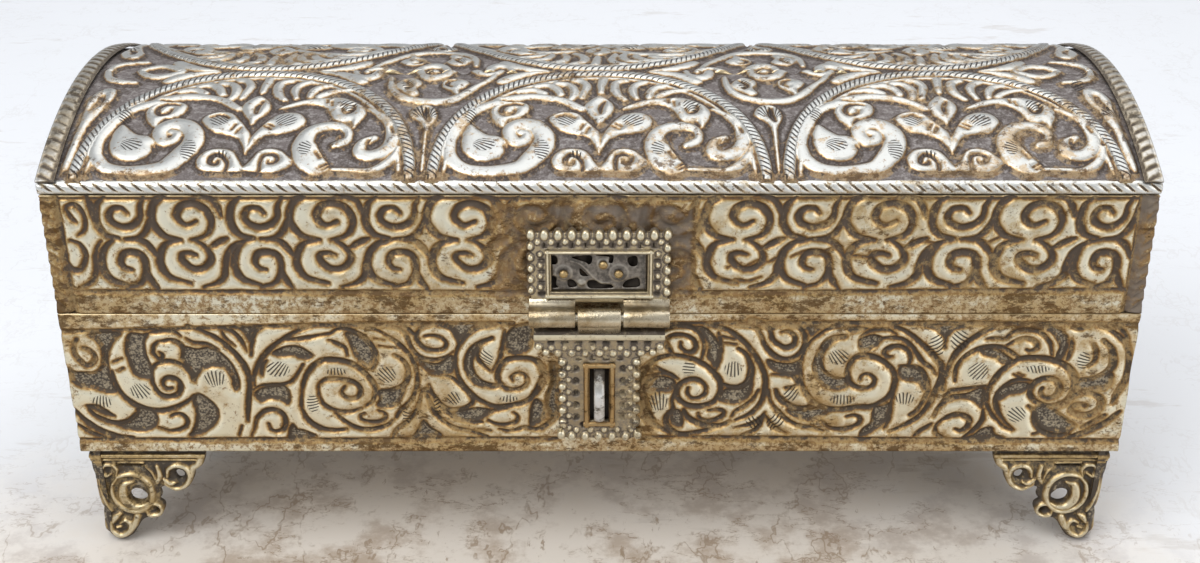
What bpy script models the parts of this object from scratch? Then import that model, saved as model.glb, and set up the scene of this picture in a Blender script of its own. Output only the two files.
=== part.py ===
"""Dome-lidded metal storage box on four pierced scroll feet, with a hinged hasp over a staple.

Metres, +Z up. The origin is on the floor under the middle of the box, +X runs along
the box, and the hasp is on the -Y side.
"""

import math

import bmesh
import bpy
from mathutils import Matrix, Vector

# Overall sizes
length = 0.250
depth = 0.087
foot_height = 0.0281
base_height = 0.0376
lid_side_height = 0.0329
dome_rise = 0.0096

# Sheet and clearances
wall_thickness = 0.0018
floor_thickness = 0.0012
dome_thickness = 0.0012
seat_gap = 0.00025
lid_gap = 0.0003
cut_overrun = 0.002
edge_radius = 0.0002

# Sunk panels that hold the chased ornament, and the plain bands that frame them
panel_recess = 0.0008
base_top_band = 0.0041
base_bottom_band = 0.0033
base_side_band = 0.0020
lid_top_band = 0.0026
lid_bottom_band = 0.0046
lid_side_band = 0.0042
end_panel_band = 0.0040

# Dome: rope arches, end bands and shoulder ropes
arch_end_gap = 0.0038
arch_gap = 0.0048
arch_below_shoulder = 0.0010
arch_ridge_gap = 0.0018
arch_wire_radius = 0.0009
end_band_width = 0.0042
end_band_thickness = 0.0007
rope_radius = 0.0016
rope_inset = 0.0014
rope_drop = 0.0015

# Feet: a scroll bracket, the same on both faces of the corner
foot_inset = 0.0013
foot_width = 0.0278
foot_thickness = 0.0018
foot_lip_height = 0.0016
foot_lip_out = 0.0006
foot_post_radius = 0.0015
foot_post_inset = 0.0012
foot_corner_cut = 0.00045
foot_toe_inset = 0.0017
foot_toe_low_radius = 0.0017
foot_toe_high_radius = 0.0023
foot_toe_height = 0.0026
foot_rib_radius = 0.0006
foot_rib_inset = 0.00085

# Hasp: plate on the lid, flap that drops over the staple
front_reach = 0.0056
hasp_knuckle_radius = 0.00225
hasp_axis_rise = 0.0010
hasp_pin_radius = 0.00095
pin_clearance = 0.0001
knuckle_gap = 0.0005
strap_end_inset = 0.00015
hasp_middle_knuckle = 0.0100
hasp_outer_knuckle = 0.0106
hasp_plate_width = 0.0330
hasp_plate_bottom = 0.0036
hasp_plate_top = 0.0227
hasp_plate_thickness = 0.0012
window_width = 0.0216
window_bottom = 0.0064
window_top = 0.0160
frame_wire = 0.0014
frame_height = 0.0006
bead_radius = 0.00085
bead_inset = 0.00106
drop_inset = 0.00153
side_bead_radius = 0.00077
side_bead_low = 0.0020
side_bead_drop = 0.0031
scroll_thickness = 0.0008
scroll_eye_radius = 0.0021
scroll_stem_radius = 0.00036
scroll_stem_rise = 0.0037
scroll_link_thickness = 0.00064
plate_strap_lap = 0.0004
rivet_head_radius = 0.0011
rivet_head_height = 0.0007
rivet_shank_radius = 0.0005
rivet_left = 0.0081
rivet_right = 0.0044
rivet_middle = 0.0009
rivet_level = 0.0112
rivet_top_rise = 0.0023

flap_back = 0.00095
flap_thickness = 0.0011
flap_top = 0.0030
flap_bar_height = 0.0032
flap_bar_width = 0.0306
flap_field_bottom = 0.0100
flap_stem_width = 0.0186
flap_bottom = 0.0335
slot_width = 0.0046
slot_top = 0.0131
slot_bottom = 0.0277
flap_bead_radius = 0.0007
flap_corner = 0.0028
flap_foot_corner = 0.0014
flap_foot_taper = 0.0007
flap_neck_drop = 0.0007
flap_row_inset = 0.0028
flap_row_rise = 0.0013
flap_row_gap = 0.0016
flap_side_inset = 0.0010
flap_side_drop = 0.0014
flap_side_stop = 0.0048
flap_foot_half = 0.0055
flap_foot_rise = 0.0013
flap_corner_inset = 0.00125
flap_corner_rise = 0.0018
flap_corner_bead = 0.00105
flap_strap_inset = 0.00025

staple_level = 0.0199
staple_outer_radius = 0.0044
staple_thickness = 0.0019
staple_width = 0.0026
staple_clinch = 0.0042
staple_bend = 0.0012

# Butt hinges on the back
hinge_place = 0.0720
hinge_width = 0.0240
hinge_leaf_height = 0.0120
hinge_leaf_thickness = 0.0010
hinge_knuckle_radius = 0.0024
hinge_middle_knuckle = 0.0090
hinge_pin_radius = 0.0010
hinge_rivet_spread = 0.0075
hinge_rivet_rise = 0.0074
hinge_strap_inset = 0.00012
hinge_strap_lap = 0.0010

# Levels and planes worked out from the sizes above
seam_level = foot_height + base_height
shoulder_level = seam_level + lid_gap + lid_side_height
front_face = -depth / 2
back_face = depth / 2
end_face = length / 2
dome_radius = ((depth / 2) ** 2 + dome_rise**2) / (2 * dome_rise)
dome_centre_level = shoulder_level + dome_rise - dome_radius
dome_half_angle = math.asin(depth / 2 / dome_radius)
hasp_axis = Vector((0, front_face - front_reach + hasp_knuckle_radius, seam_level + hasp_axis_rise))
plate_back = front_face - seat_gap - hasp_axis.y
flap_front = front_face - flap_back - flap_thickness - hasp_axis.y
hinge_axis_out = front_reach - hinge_knuckle_radius
hinge_level = seam_level + lid_gap / 2
staple_out = front_reach - staple_outer_radius
arch_half_width = (length - 2 * (end_band_width + arch_end_gap + arch_gap)) / 6
arch_pitch = 2 * arch_half_width + arch_gap
bead_sink_share = 0.22
drop_stretch_share = 1.6
rib_sink_share = 0.25
drop_count = 11
side_bead_rows = 5
flap_row_count = 9
flap_side_count = 6
flap_foot_count = 5
round_segments = 24
knuckle_segments = 16
arch_steps = 15
bead_segments = 6
hole_segments = 8

parts = None
cutters = None


def clear_scene():
    """Removes what the startup scene holds and makes the two collections."""
    global parts, cutters
    for item in list(bpy.data.objects):
        bpy.data.objects.remove(item)
    parts = bpy.data.collections.new("metal_storage_box")
    cutters = bpy.data.collections.new("cutters")
    for collection in (parts, cutters):
        bpy.context.scene.collection.children.link(collection)


def finish(name, color, roughness, metallic):
    """One Principled material."""
    material = bpy.data.materials.new(name)
    material.use_nodes = True
    shader = material.node_tree.nodes["Principled BSDF"]
    shader.inputs["Base Color"].default_value = (*color, 1)
    shader.inputs["Roughness"].default_value = roughness
    shader.inputs["Metallic"].default_value = metallic
    return material


WASHED_SILVER = ((0.62, 0.55, 0.42), 0.38, 0.9)
GILT_BRASS = ((0.60, 0.45, 0.24), 0.36, 0.95)
DARK_BRASS = ((0.32, 0.25, 0.16), 0.45, 0.9)
BRIGHT_STEEL = ((0.72, 0.72, 0.70), 0.22, 1.0)


def add_node(name, mesh, look, location=(0, 0, 0), turn=0):
    """Puts a mesh in the parts collection under its node name, with its own material."""
    mesh.name = name
    node = bpy.data.objects.new(name, mesh)
    node.location = location
    node.rotation_euler.z = turn
    mesh.materials.clear()
    mesh.materials.append(finish(name, *look))
    parts.objects.link(node)
    return node


def helper(name, mesh):
    """Puts a mesh in the cutters collection, out of the render."""
    tool = bpy.data.objects.new(name, mesh)
    tool.hide_render = True
    tool.display_type = "WIRE"
    cutters.objects.link(tool)
    return tool


def mesh_from(bm, name):
    """Turns a bmesh into a mesh with its faces pointing out."""
    bmesh.ops.recalc_face_normals(bm, faces=bm.faces)
    mesh = bpy.data.meshes.new(name)
    bm.to_mesh(mesh)
    bm.free()
    return mesh


def box_mesh(low, high, name="box"):
    """A box between two corners."""
    bm = bmesh.new()
    bmesh.ops.create_cube(bm, size=1)
    size = Vector(high) - Vector(low)
    bmesh.ops.scale(bm, vec=size, verts=bm.verts)
    bmesh.ops.translate(bm, vec=Vector(low) + size / 2, verts=bm.verts)
    return mesh_from(bm, name)


def rod_mesh(radius, start, end, segments=round_segments, end_radius=None, name="rod"):
    """A round rod, or a cone, between two points."""
    axis = Vector(end) - Vector(start)
    turn = Vector((0, 0, 1)).rotation_difference(axis).to_matrix().to_4x4()
    bm = bmesh.new()
    bmesh.ops.create_cone(
        bm,
        cap_ends=True,
        segments=segments,
        radius1=radius,
        radius2=radius if end_radius is None else end_radius,
        depth=axis.length,
        matrix=Matrix.Translation((Vector(start) + Vector(end)) / 2) @ turn,
    )
    return mesh_from(bm, name)


def bead_row(start, end, level, count):
    """Places of a level row of beads, as (x, z)."""
    return [(start + (end - start) * index / (count - 1), level) for index in range(count)]


def beads_mesh(places, face, radius, stretch=1, name="beads"):
    """Round beads sunk a little into a face at the given y, each stretched upwards."""
    bm = bmesh.new()
    for across, up in places:
        centre = (across, face + radius * bead_sink_share, up)
        place = Matrix.Translation(centre) @ Matrix.Diagonal((1, 1, stretch, 1))
        bmesh.ops.create_uvsphere(
            bm, u_segments=bead_segments, v_segments=bead_segments // 2 + 1, radius=radius, matrix=place
        )
    return mesh_from(bm, name)


def arc_points(centre, radius, start, end, steps):
    """Points along an arc, in degrees anticlockwise from the first axis."""
    points = []
    for step in range(steps + 1):
        angle = math.radians(start + (end - start) * step / steps)
        points.append((centre[0] + radius * math.cos(angle), centre[1] + radius * math.sin(angle)))
    return points


def plate_mesh(outline, holes, thickness, name="plate"):
    """A flat curve with holes, extruded: it lies in XZ with its front at y = 0 and its back at +y."""
    curve = bpy.data.curves.new(name, "CURVE")
    curve.dimensions = "2D"
    curve.fill_mode = "BOTH"
    curve.extrude = thickness / 2
    for loop in [outline, *holes]:
        spline = curve.splines.new("POLY")
        spline.points.add(len(loop) - 1)
        spline.use_cyclic_u = True
        for point, (across, up) in zip(spline.points, loop):
            point.co = (across, up, 0, 1)
    stand = Matrix.Rotation(math.radians(90), 4, "X")
    return curve_to_mesh(curve, Matrix.Translation((0, thickness / 2, 0)) @ stand, name)


def prism_mesh(outline, start, direction, name="prism"):
    """A flat outline of 3-D corners, pushed along a direction from its start."""
    bm = bmesh.new()
    face = bm.faces.new([bm.verts.new(Vector(corner) + Vector(start)) for corner in outline])
    grown = bmesh.ops.extrude_face_region(bm, geom=[face])
    far = [item for item in grown["geom"] if isinstance(item, bmesh.types.BMVert)]
    bmesh.ops.translate(bm, vec=direction, verts=far)
    return mesh_from(bm, name)


def wire_curve(points, radius, resolution, name="wire", cyclic=False):
    """A bevelled wire through the points, with closed ends."""
    curve = bpy.data.curves.new(name, "CURVE")
    curve.dimensions = "3D"
    curve.bevel_depth = radius
    curve.bevel_resolution = resolution
    curve.use_fill_caps = True
    spline = curve.splines.new("POLY")
    spline.points.add(len(points) - 1)
    spline.use_cyclic_u = cyclic
    for point, place in zip(spline.points, points):
        point.co = (*place, 1)
    return curve


def curve_to_mesh(curve, place, name):
    """Makes a curve a mesh, welds its caps and moves it to its place."""
    item = bpy.data.objects.new(name, curve)
    bpy.context.scene.collection.objects.link(item)
    bpy.context.view_layer.update()
    graph = bpy.context.evaluated_depsgraph_get()
    mesh = bpy.data.meshes.new_from_object(item.evaluated_get(graph))
    bpy.data.objects.remove(item)
    bm = bmesh.new()
    bm.from_mesh(mesh)
    bmesh.ops.remove_doubles(bm, verts=bm.verts, dist=edge_radius / 100)
    bmesh.ops.transform(bm, matrix=place, verts=bm.verts)
    return mesh_from(bm, name)


def combined(mesh, tools, name):
    """Applies Boolean steps, each an operation and a tool mesh, and returns the finished mesh."""
    body = helper(name, mesh)
    for index, (operation, tool_mesh) in enumerate(tools):
        step = body.modifiers.new(f"step_{index}", "BOOLEAN")
        step.operation = operation
        step.solver = "EXACT"
        step.object = helper(f"{name}_tool_{index}", tool_mesh)
    bpy.context.view_layer.update()
    graph = bpy.context.evaluated_depsgraph_get()
    result = bpy.data.meshes.new_from_object(body.evaluated_get(graph))
    for step in list(body.modifiers):
        tool = step.object
        body.modifiers.remove(step)
        bpy.data.objects.remove(tool)
    bpy.data.objects.remove(body)
    return result


def moved(mesh, matrix):
    """The mesh under a matrix, with its faces turned back if the matrix mirrors it."""
    bm = bmesh.new()
    bm.from_mesh(mesh)
    bmesh.ops.transform(bm, matrix=matrix, verts=bm.verts)
    if matrix.determinant() < 0:
        bmesh.ops.reverse_faces(bm, faces=bm.faces)
    result = bpy.data.meshes.new(mesh.name)
    bm.to_mesh(result)
    bm.free()
    return result


def smooth_round(node, angle=35):
    """Shades a round piece smooth, with its true edges kept sharp."""
    node.data.shade_smooth()
    node.data.set_sharp_from_angle(angle=math.radians(angle))


def soften_edges(node):
    """A small rounded edge on a sheet piece."""
    bevel = node.modifiers.new("edges", "BEVEL")
    bevel.width = edge_radius
    bevel.segments = 1
    bevel.limit_method = "ANGLE"
    bevel.angle_limit = math.radians(60)


# Walls of the base and the lid


def wall_mesh(width, low, high, top_band, bottom_band, side_band, tools=()):
    """A sheet wall seen from outside: its face at y = 0, with a sunk panel between its bands."""
    sheet = box_mesh((-width / 2, 0, low), (width / 2, wall_thickness, high))
    panel = box_mesh(
        (-width / 2 + side_band, -cut_overrun, low + bottom_band),
        (width / 2 - side_band, panel_recess, high - top_band),
    )
    return combined(sheet, [("DIFFERENCE", panel), *tools], "wall")


def staple_holes():
    """Two holes in the front wall for the legs of the staple."""
    radius = staple_width / 2 + seat_gap
    reach = staple_outer_radius - staple_thickness / 2
    steps = []
    for side in (1, -1):
        level = seam_level - staple_level + side * reach
        start = (0, -cut_overrun, level)
        end = (0, wall_thickness + cut_overrun, level)
        steps.append(("DIFFERENCE", rod_mesh(radius, start, end, knuckle_segments)))
    return steps


def rivet_holes(places, bottom, top):
    """Holes for rivet shanks through a sheet, at places given as (x, z)."""
    steps = []
    for across, level in places:
        tool = rod_mesh(rivet_shank_radius + seat_gap, (across, bottom, level), (across, top, level), hole_segments)
        steps.append(("DIFFERENCE", tool))
    return steps


def build_base_walls():
    low, high = foot_height, seam_level
    bands = (base_top_band, base_bottom_band, base_side_band)
    inner_width = depth - 2 * (wall_thickness + seat_gap)
    front = wall_mesh(length, low, high, *bands, tools=staple_holes())
    back = wall_mesh(length, low, high, *bands, tools=hinge_rivet_holes(-1))
    end = wall_mesh(inner_width, low, high, *bands)
    add_node("base_front_wall", front, WASHED_SILVER, (0, front_face, 0))
    add_node("base_back_wall", back, WASHED_SILVER, (0, back_face, 0), math.pi)
    add_node("base_left_end", end, WASHED_SILVER, (-end_face, 0, 0), -math.pi / 2)
    add_node("base_right_end", end.copy(), WASHED_SILVER, (end_face, 0, 0), math.pi / 2)


def build_base_floor():
    half_x = end_face - wall_thickness - seat_gap
    half_y = back_face - wall_thickness - seat_gap
    sheet = box_mesh((-half_x, -half_y, foot_height), (half_x, half_y, foot_height + floor_thickness))
    node = add_node("base_floor", sheet, GILT_BRASS)
    soften_edges(node)


def build_lid_walls():
    low = seam_level + lid_gap
    high = shoulder_level - rope_drop - rope_radius - seat_gap
    bands = (lid_top_band, lid_bottom_band, lid_side_band)
    hasp_holes = rivet_holes(hasp_rivet_places(), -cut_overrun, wall_thickness + cut_overrun)
    front = wall_mesh(length, low, high, *bands, tools=hasp_holes)
    back = wall_mesh(length, low, high, *bands, tools=hinge_rivet_holes(1))
    add_node("lid_front_wall", front, WASHED_SILVER, (0, front_face, 0))
    add_node("lid_back_wall", back, WASHED_SILVER, (0, back_face, 0), math.pi)


def lid_end_mesh():
    """The arched end of the lid, seen from outside, with a sunk panel that follows its outline."""
    half = back_face - wall_thickness - seat_gap
    radius = dome_radius - dome_thickness - seat_gap
    angle = math.degrees(math.asin(half / radius))
    low = seam_level + lid_gap
    outline = [(-half, low), (half, low)]
    outline += arc_points((0, dome_centre_level), radius, 90 - angle, 90 + angle, round_segments)
    bm = bmesh.new()
    loop = [bm.verts.new((across, 0, up)) for across, up in outline]
    face = bm.faces.new(loop)
    grown = bmesh.ops.extrude_face_region(bm, geom=[face])
    back = [item for item in grown["geom"] if isinstance(item, bmesh.types.BMVert)]
    bmesh.ops.translate(bm, vec=(0, wall_thickness, 0), verts=back)
    front = [item for item in bm.faces if all(abs(vert.co.y) < edge_radius for vert in item.verts)]
    bmesh.ops.recalc_face_normals(bm, faces=bm.faces)
    bmesh.ops.inset_region(bm, faces=front, thickness=end_panel_band, depth=-panel_recess, use_even_offset=True)
    mesh = mesh_from(bm, "lid_end")
    steps = []
    for side in (1, -1):
        centre = (side * (back_face - rope_inset), shoulder_level - rope_drop)
        start = (centre[0], -cut_overrun, centre[1])
        end = (centre[0], wall_thickness + cut_overrun, centre[1])
        steps.append(("DIFFERENCE", rod_mesh(rope_radius + seat_gap, start, end)))
    return combined(mesh, steps, "lid_end")


def build_lid_ends():
    end = lid_end_mesh()
    add_node("lid_left_end", end, WASHED_SILVER, (-end_face, 0, 0), -math.pi / 2)
    add_node("lid_right_end", end.copy(), WASHED_SILVER, (end_face, 0, 0), math.pi / 2)


# The dome with its raised rope arches


def dome_point(across, angle, lift=0):
    """A point on the dome: angle from the top, towards the back, and lift above the sheet."""
    radius = dome_radius + lift
    return Vector((across, radius * math.sin(angle), dome_centre_level + radius * math.cos(angle)))


def dome_edge_angle():
    """The angle at which the dome sheet stops, just clear of the shoulder ropes."""
    edge = back_face - rope_inset - rope_radius - seat_gap
    return math.asin(edge / dome_radius)


def curved_strip(x_low, x_high, half_angle, lift, thickness, segments, name):
    """A strip of sheet bent to the dome: a flat grid, bent, then given its thickness outwards."""
    bm = bmesh.new()
    bmesh.ops.create_grid(bm, x_segments=1, y_segments=segments, size=0.5)
    for vert in bm.verts:
        across = x_low + (vert.co.x + 0.5) * (x_high - x_low)
        vert.co = dome_point(across, vert.co.y * 2 * half_angle, lift)
    grown = bmesh.ops.extrude_face_region(bm, geom=list(bm.faces))
    for vert in [item for item in grown["geom"] if isinstance(item, bmesh.types.BMVert)]:
        angle = math.atan2(vert.co.y, vert.co.z - dome_centre_level)
        vert.co = dome_point(vert.co.x, angle, lift + thickness)
    return mesh_from(bm, name)


def arch_points(centre, side):
    """The rope of one arch: a stretch of an ellipse drawn on the unrolled dome."""
    arc_half = dome_half_angle * dome_radius
    height = arc_half - arch_ridge_gap + arch_below_shoulder
    half_width = arch_half_width / math.sqrt(1 - (arch_below_shoulder / height) ** 2)
    foot = back_face - rope_inset - rope_radius - seat_gap - arch_wire_radius
    foot_along = arc_half - math.asin(foot / dome_radius) * dome_radius
    start = math.asin((foot_along + arch_below_shoulder) / height)
    points = []
    for step in range(arch_steps + 1):
        turn = start + (math.pi - 2 * start) * step / arch_steps
        along = height * math.sin(turn) - arch_below_shoulder
        angle = (arc_half - along) / dome_radius
        points.append(dome_point(centre + half_width * math.cos(turn), side * angle))
    return points


def build_dome():
    sheet = curved_strip(-end_face, end_face, dome_edge_angle(), -dome_thickness, dome_thickness, 18, "lid_dome")
    steps = []
    for side in (-1, 1):
        for place in (-1, 0, 1):
            wire = wire_curve(arch_points(place * arch_pitch, side), arch_wire_radius, 1)
            steps.append(("UNION", curve_to_mesh(wire, Matrix.Identity(4), "arch")))
    node = add_node("lid_dome", combined(sheet, steps, "lid_dome"), WASHED_SILVER)
    smooth_round(node)


def build_dome_trim():
    for name, side in (("left", -1), ("right", 1)):
        inner = side * (end_face - end_band_width)
        low, high = sorted((inner, side * end_face))
        band = curved_strip(low, high, dome_half_angle, seat_gap, end_band_thickness, 18, "band")
        smooth_round(add_node(f"dome_end_band_{name}", band, WASHED_SILVER))
    for name, side in (("front", -1), ("back", 1)):
        place = (side * (back_face - rope_inset), shoulder_level - rope_drop)
        rod = rod_mesh(rope_radius, (-end_face, *place), (end_face, *place), round_segments)
        smooth_round(add_node(f"shoulder_rope_{name}", rod, WASHED_SILVER))


# Feet. Places are (inwards, down) shares of the foot's width and height from its top outer corner

foot_ring_shares = (0.30, 0.455, 0.190)
foot_lobe_shares = (0.735, 0.300, 0.135)
foot_curl_shares = (0.500, 0.640, 0.070)
foot_tip_shares = (0.190, 0.790, 0.120)
foot_top_inner_shares = (0.985, 0.060)
foot_notch_shares = (0.560, 0.430)
foot_waist_shares = (0.435, 0.720)
foot_ring_hole_shares = (0.345, 0.490, 0.075)
foot_lobe_hole_shares = (0.735, 0.300, 0.055)
foot_bar_hole_shares = (0.510, 0.235, 0.048)
foot_neck_hole_shares = (0.155, 0.215, 0.050)
toe_overlap_share = 0.7
rib_inner_share = 0.45


def foot_circle(shares):
    """Centre and radius of a foot feature, as seen from outside, from its shares."""
    inwards, down, radius = shares
    return (inwards * foot_width, (1 - down) * foot_height), radius * foot_width


def foot_point(shares):
    return (shares[0] * foot_width, (1 - shares[1]) * foot_height)


def foot_outline():
    """The bracket's outline: straight at the corner and the top, with a lobe, a curl and a tip."""
    lobe, lobe_radius = foot_circle(foot_lobe_shares)
    curl, curl_radius = foot_circle(foot_curl_shares)
    tip, tip_radius = foot_circle(foot_tip_shares)
    top = foot_height - seat_gap - foot_lip_height / 2
    outline = [(foot_corner_cut, top), (foot_corner_cut, foot_toe_height * toe_overlap_share)]
    outline += arc_points(tip, tip_radius, 240, 350, 5)
    outline += [foot_point(foot_waist_shares)]
    outline += arc_points(curl, curl_radius, 230, 430, 6)
    outline += [foot_point(foot_notch_shares)]
    outline += arc_points(lobe, lobe_radius, 215, 385, 8)
    outline += [foot_point(foot_top_inner_shares), (foot_point(foot_top_inner_shares)[0], top)]
    return outline


def spiral_points(centre, radius, start, turns, inner, steps):
    """A scroll that winds in from the given radius to its inner share."""
    points = []
    for step in range(steps + 1):
        part = step / steps
        angle = math.radians(start + 360 * turns * part)
        reach = radius * (1 - (1 - inner) * part)
        sunk = foot_rib_radius * rib_sink_share
        points.append(Vector((centre[0] + reach * math.cos(angle), sunk, centre[1] + reach * math.sin(angle))))
    return points


def foot_scrolls():
    """Ridges of the cast scrolls on a bracket's face."""
    rolls = []
    for shares, start, turns in (
        (foot_ring_shares, 160, -1.35),
        (foot_lobe_shares, 60, 1.0),
        (foot_tip_shares, 60, 1.0),
    ):
        centre, radius = foot_circle(shares)
        points = spiral_points(centre, radius - foot_rib_inset, start, turns, rib_inner_share, 9)
        wire = wire_curve(points, foot_rib_radius, 0)
        rolls.append(("UNION", curve_to_mesh(wire, Matrix.Identity(4), "scroll")))
    return rolls


def foot_bracket():
    """One face of a foot, in XZ with its outside at y = 0 and its corner edge at x = 0."""
    holes = []
    for shares in (foot_ring_hole_shares, foot_lobe_hole_shares, foot_bar_hole_shares, foot_neck_hole_shares):
        centre, radius = foot_circle(shares)
        holes.append(arc_points(centre, radius, 0, 315, 7))
    plate = plate_mesh(foot_outline(), holes, foot_thickness, "bracket")
    return combined(plate, foot_scrolls(), "bracket")


def foot_lip_mesh():
    """The moulded lip round the top of a foot, bent at the corner."""
    out = foot_lip_out
    long = foot_width + foot_lip_out
    back = foot_thickness + foot_lip_out
    outline = [(-out, -out, 0), (long, -out, 0), (long, back, 0), (back, back, 0), (back, long, 0), (-out, long, 0)]
    start = (0, 0, foot_height - seat_gap - foot_lip_height)
    return prism_mesh(outline, start, (0, 0, foot_lip_height), "lip")


def foot_mesh():
    """A left front foot with its corner at the origin: two brackets, a corner post, a toe and a lip."""
    face = foot_bracket()
    swap = Matrix(((0, 1, 0, 0), (1, 0, 0, 0), (0, 0, 1, 0), (0, 0, 0, 1)))
    post_low = (foot_post_inset, foot_post_inset, foot_toe_height / 2)
    post_high = (foot_post_inset, foot_post_inset, foot_height - seat_gap - foot_lip_height / 2)
    toe_low = (foot_toe_inset, foot_toe_inset, 0)
    toe_high = (foot_toe_inset, foot_toe_inset, foot_toe_height)
    toe = rod_mesh(foot_toe_low_radius, toe_low, toe_high, knuckle_segments, foot_toe_high_radius)
    steps = [
        ("UNION", moved(face, swap)),
        ("UNION", rod_mesh(foot_post_radius, post_low, post_high, knuckle_segments)),
        ("UNION", toe),
        ("UNION", foot_lip_mesh()),
    ]
    return combined(face, steps, "foot")


def build_feet():
    foot = foot_mesh()
    corner_x = end_face - foot_inset
    corner_y = back_face - foot_inset
    for row, side_y in (("front", -1), ("back", 1)):
        for column, side_x in (("left", -1), ("right", 1)):
            mirror = Matrix.Diagonal((-side_x, -side_y, 1, 1))
            place = (side_x * corner_x, side_y * corner_y, 0)
            node = add_node(f"foot_{row}_{column}", moved(foot, mirror), DARK_BRASS, place)
            smooth_round(node, 40)


# Hasp


def hasp_rivet_places():
    """The three rivets that hold the hasp to the lid, as (x, z)."""
    level = seam_level + rivet_level
    return [(-rivet_left, level), (rivet_right, level), (rivet_middle, level + rivet_top_rise)]


def knuckle_spans(middle, outer, owner):
    """The stretches of X that a knuckled piece holds: the middle one, or the two outer ones."""
    if owner == "middle":
        return [(-middle / 2, middle / 2)]
    inner = middle / 2 + knuckle_gap
    return [(-inner - outer, -inner), (inner, inner + outer)]


def knuckle_steps(spans, axis_y, axis_z, radius, strap, bore):
    """Knuckles with their straps joined on, then bored for the pin."""
    steps = []
    for low, high in spans:
        steps.append(("UNION", rod_mesh(radius, (low, axis_y, axis_z), (high, axis_y, axis_z), knuckle_segments)))
        (y_low, y_high), (z_low, z_high) = strap
        strap_low = (low + strap_end_inset, y_low, z_low)
        strap_high = (high - strap_end_inset, y_high, z_high)
        steps.append(("UNION", box_mesh(strap_low, strap_high)))
    start = min(low for low, high in spans) - cut_overrun
    end = max(high for low, high in spans) + cut_overrun
    steps.append(("DIFFERENCE", rod_mesh(bore, (start, axis_y, axis_z), (end, axis_y, axis_z), knuckle_segments)))
    return steps


def hasp_plate_beads():
    """Drop-shaped beads along the top and round ones down both sides, on the plate's face."""
    half = hasp_plate_width / 2 - bead_inset
    top = hasp_plate_top - hasp_axis_rise - drop_inset
    low = hasp_plate_bottom - hasp_axis_rise + side_bead_low
    drops = bead_row(-half, half, top, drop_count)
    step = (top - side_bead_drop - low) / (side_bead_rows - 1)
    rounds = [(side * half, low + step * index) for side in (-1, 1) for index in range(side_bead_rows)]
    face = plate_back - hasp_plate_thickness
    return [
        ("UNION", beads_mesh(drops, face, bead_radius, drop_stretch_share)),
        ("UNION", beads_mesh(rounds, face, side_bead_radius)),
    ]


def build_hasp_plate():
    """The plate, about the hasp's axis: its window, its beads and its two outer knuckles."""
    front = plate_back - hasp_plate_thickness
    low = hasp_plate_bottom - hasp_axis_rise
    high = hasp_plate_top - hasp_axis_rise
    sheet = box_mesh((-hasp_plate_width / 2, front, low), (hasp_plate_width / 2, plate_back, high))
    window = box_mesh(
        (-window_width / 2, front - cut_overrun, window_bottom - hasp_axis_rise),
        (window_width / 2, plate_back + cut_overrun, window_top - hasp_axis_rise),
    )
    strap = ((front - plate_strap_lap, plate_back - edge_radius), (0, low + plate_strap_lap))
    spans = knuckle_spans(hasp_middle_knuckle, hasp_outer_knuckle, "outer")
    bore = hasp_pin_radius + pin_clearance
    steps = [("DIFFERENCE", window), *hasp_plate_beads()]
    steps += knuckle_steps(spans, 0, 0, hasp_knuckle_radius, strap, bore)
    node = add_node("hasp_plate", combined(sheet, steps, "hasp_plate"), WASHED_SILVER, hasp_axis)
    smooth_round(node)


def frame_mesh(width, low, high, wire, back, height):
    """A rectangular wire frame that lies on a plate, its back at the given y."""
    outer = box_mesh((-width / 2 - wire, back - height, low - wire), (width / 2 + wire, back, high + wire))
    inner = box_mesh((-width / 2, back - height - cut_overrun, low), (width / 2, back + cut_overrun, high))
    return combined(outer, [("DIFFERENCE", inner)], "frame")


def build_hasp_frame():
    back = front_face - seat_gap - hasp_plate_thickness - seat_gap
    low = seam_level + window_bottom
    high = seam_level + window_top
    node = add_node(
        "hasp_window_frame", frame_mesh(window_width, low, high, frame_wire, back, frame_height), WASHED_SILVER
    )
    soften_edges(node)


def build_hasp_scroll():
    """The cast S-scroll behind the window: an eye at each rivet, joined by a curved stem."""
    back = front_face - seat_gap
    front = back - scroll_thickness
    mid = back - scroll_thickness / 2
    left, right, upper = hasp_rivet_places()
    points = []
    for step in range(arch_steps + 1):
        part = step / arch_steps
        across = left[0] + (right[0] - left[0]) * part
        points.append(Vector((across, mid, left[1] + scroll_stem_rise * math.sin(2 * math.pi * part))))
    stem = curve_to_mesh(wire_curve(points, scroll_stem_radius, 1), Matrix.Identity(4), "stem")
    discs = []
    for across, level in (left, right, upper):
        discs.append(rod_mesh(scroll_eye_radius, (across, front, level), (across, back, level), knuckle_segments))
    link = box_mesh(
        (upper[0], mid - scroll_link_thickness / 2, right[1] - scroll_link_thickness),
        (right[0], mid + scroll_link_thickness / 2, upper[1] + scroll_link_thickness / 2),
    )
    steps = [("UNION", item) for item in (discs[1], discs[2], link, stem)]
    steps += rivet_holes(hasp_rivet_places(), front - cut_overrun, back + cut_overrun)
    node = add_node("hasp_scroll", combined(discs[0], steps, "hasp_scroll"), DARK_BRASS)
    smooth_round(node)


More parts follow.
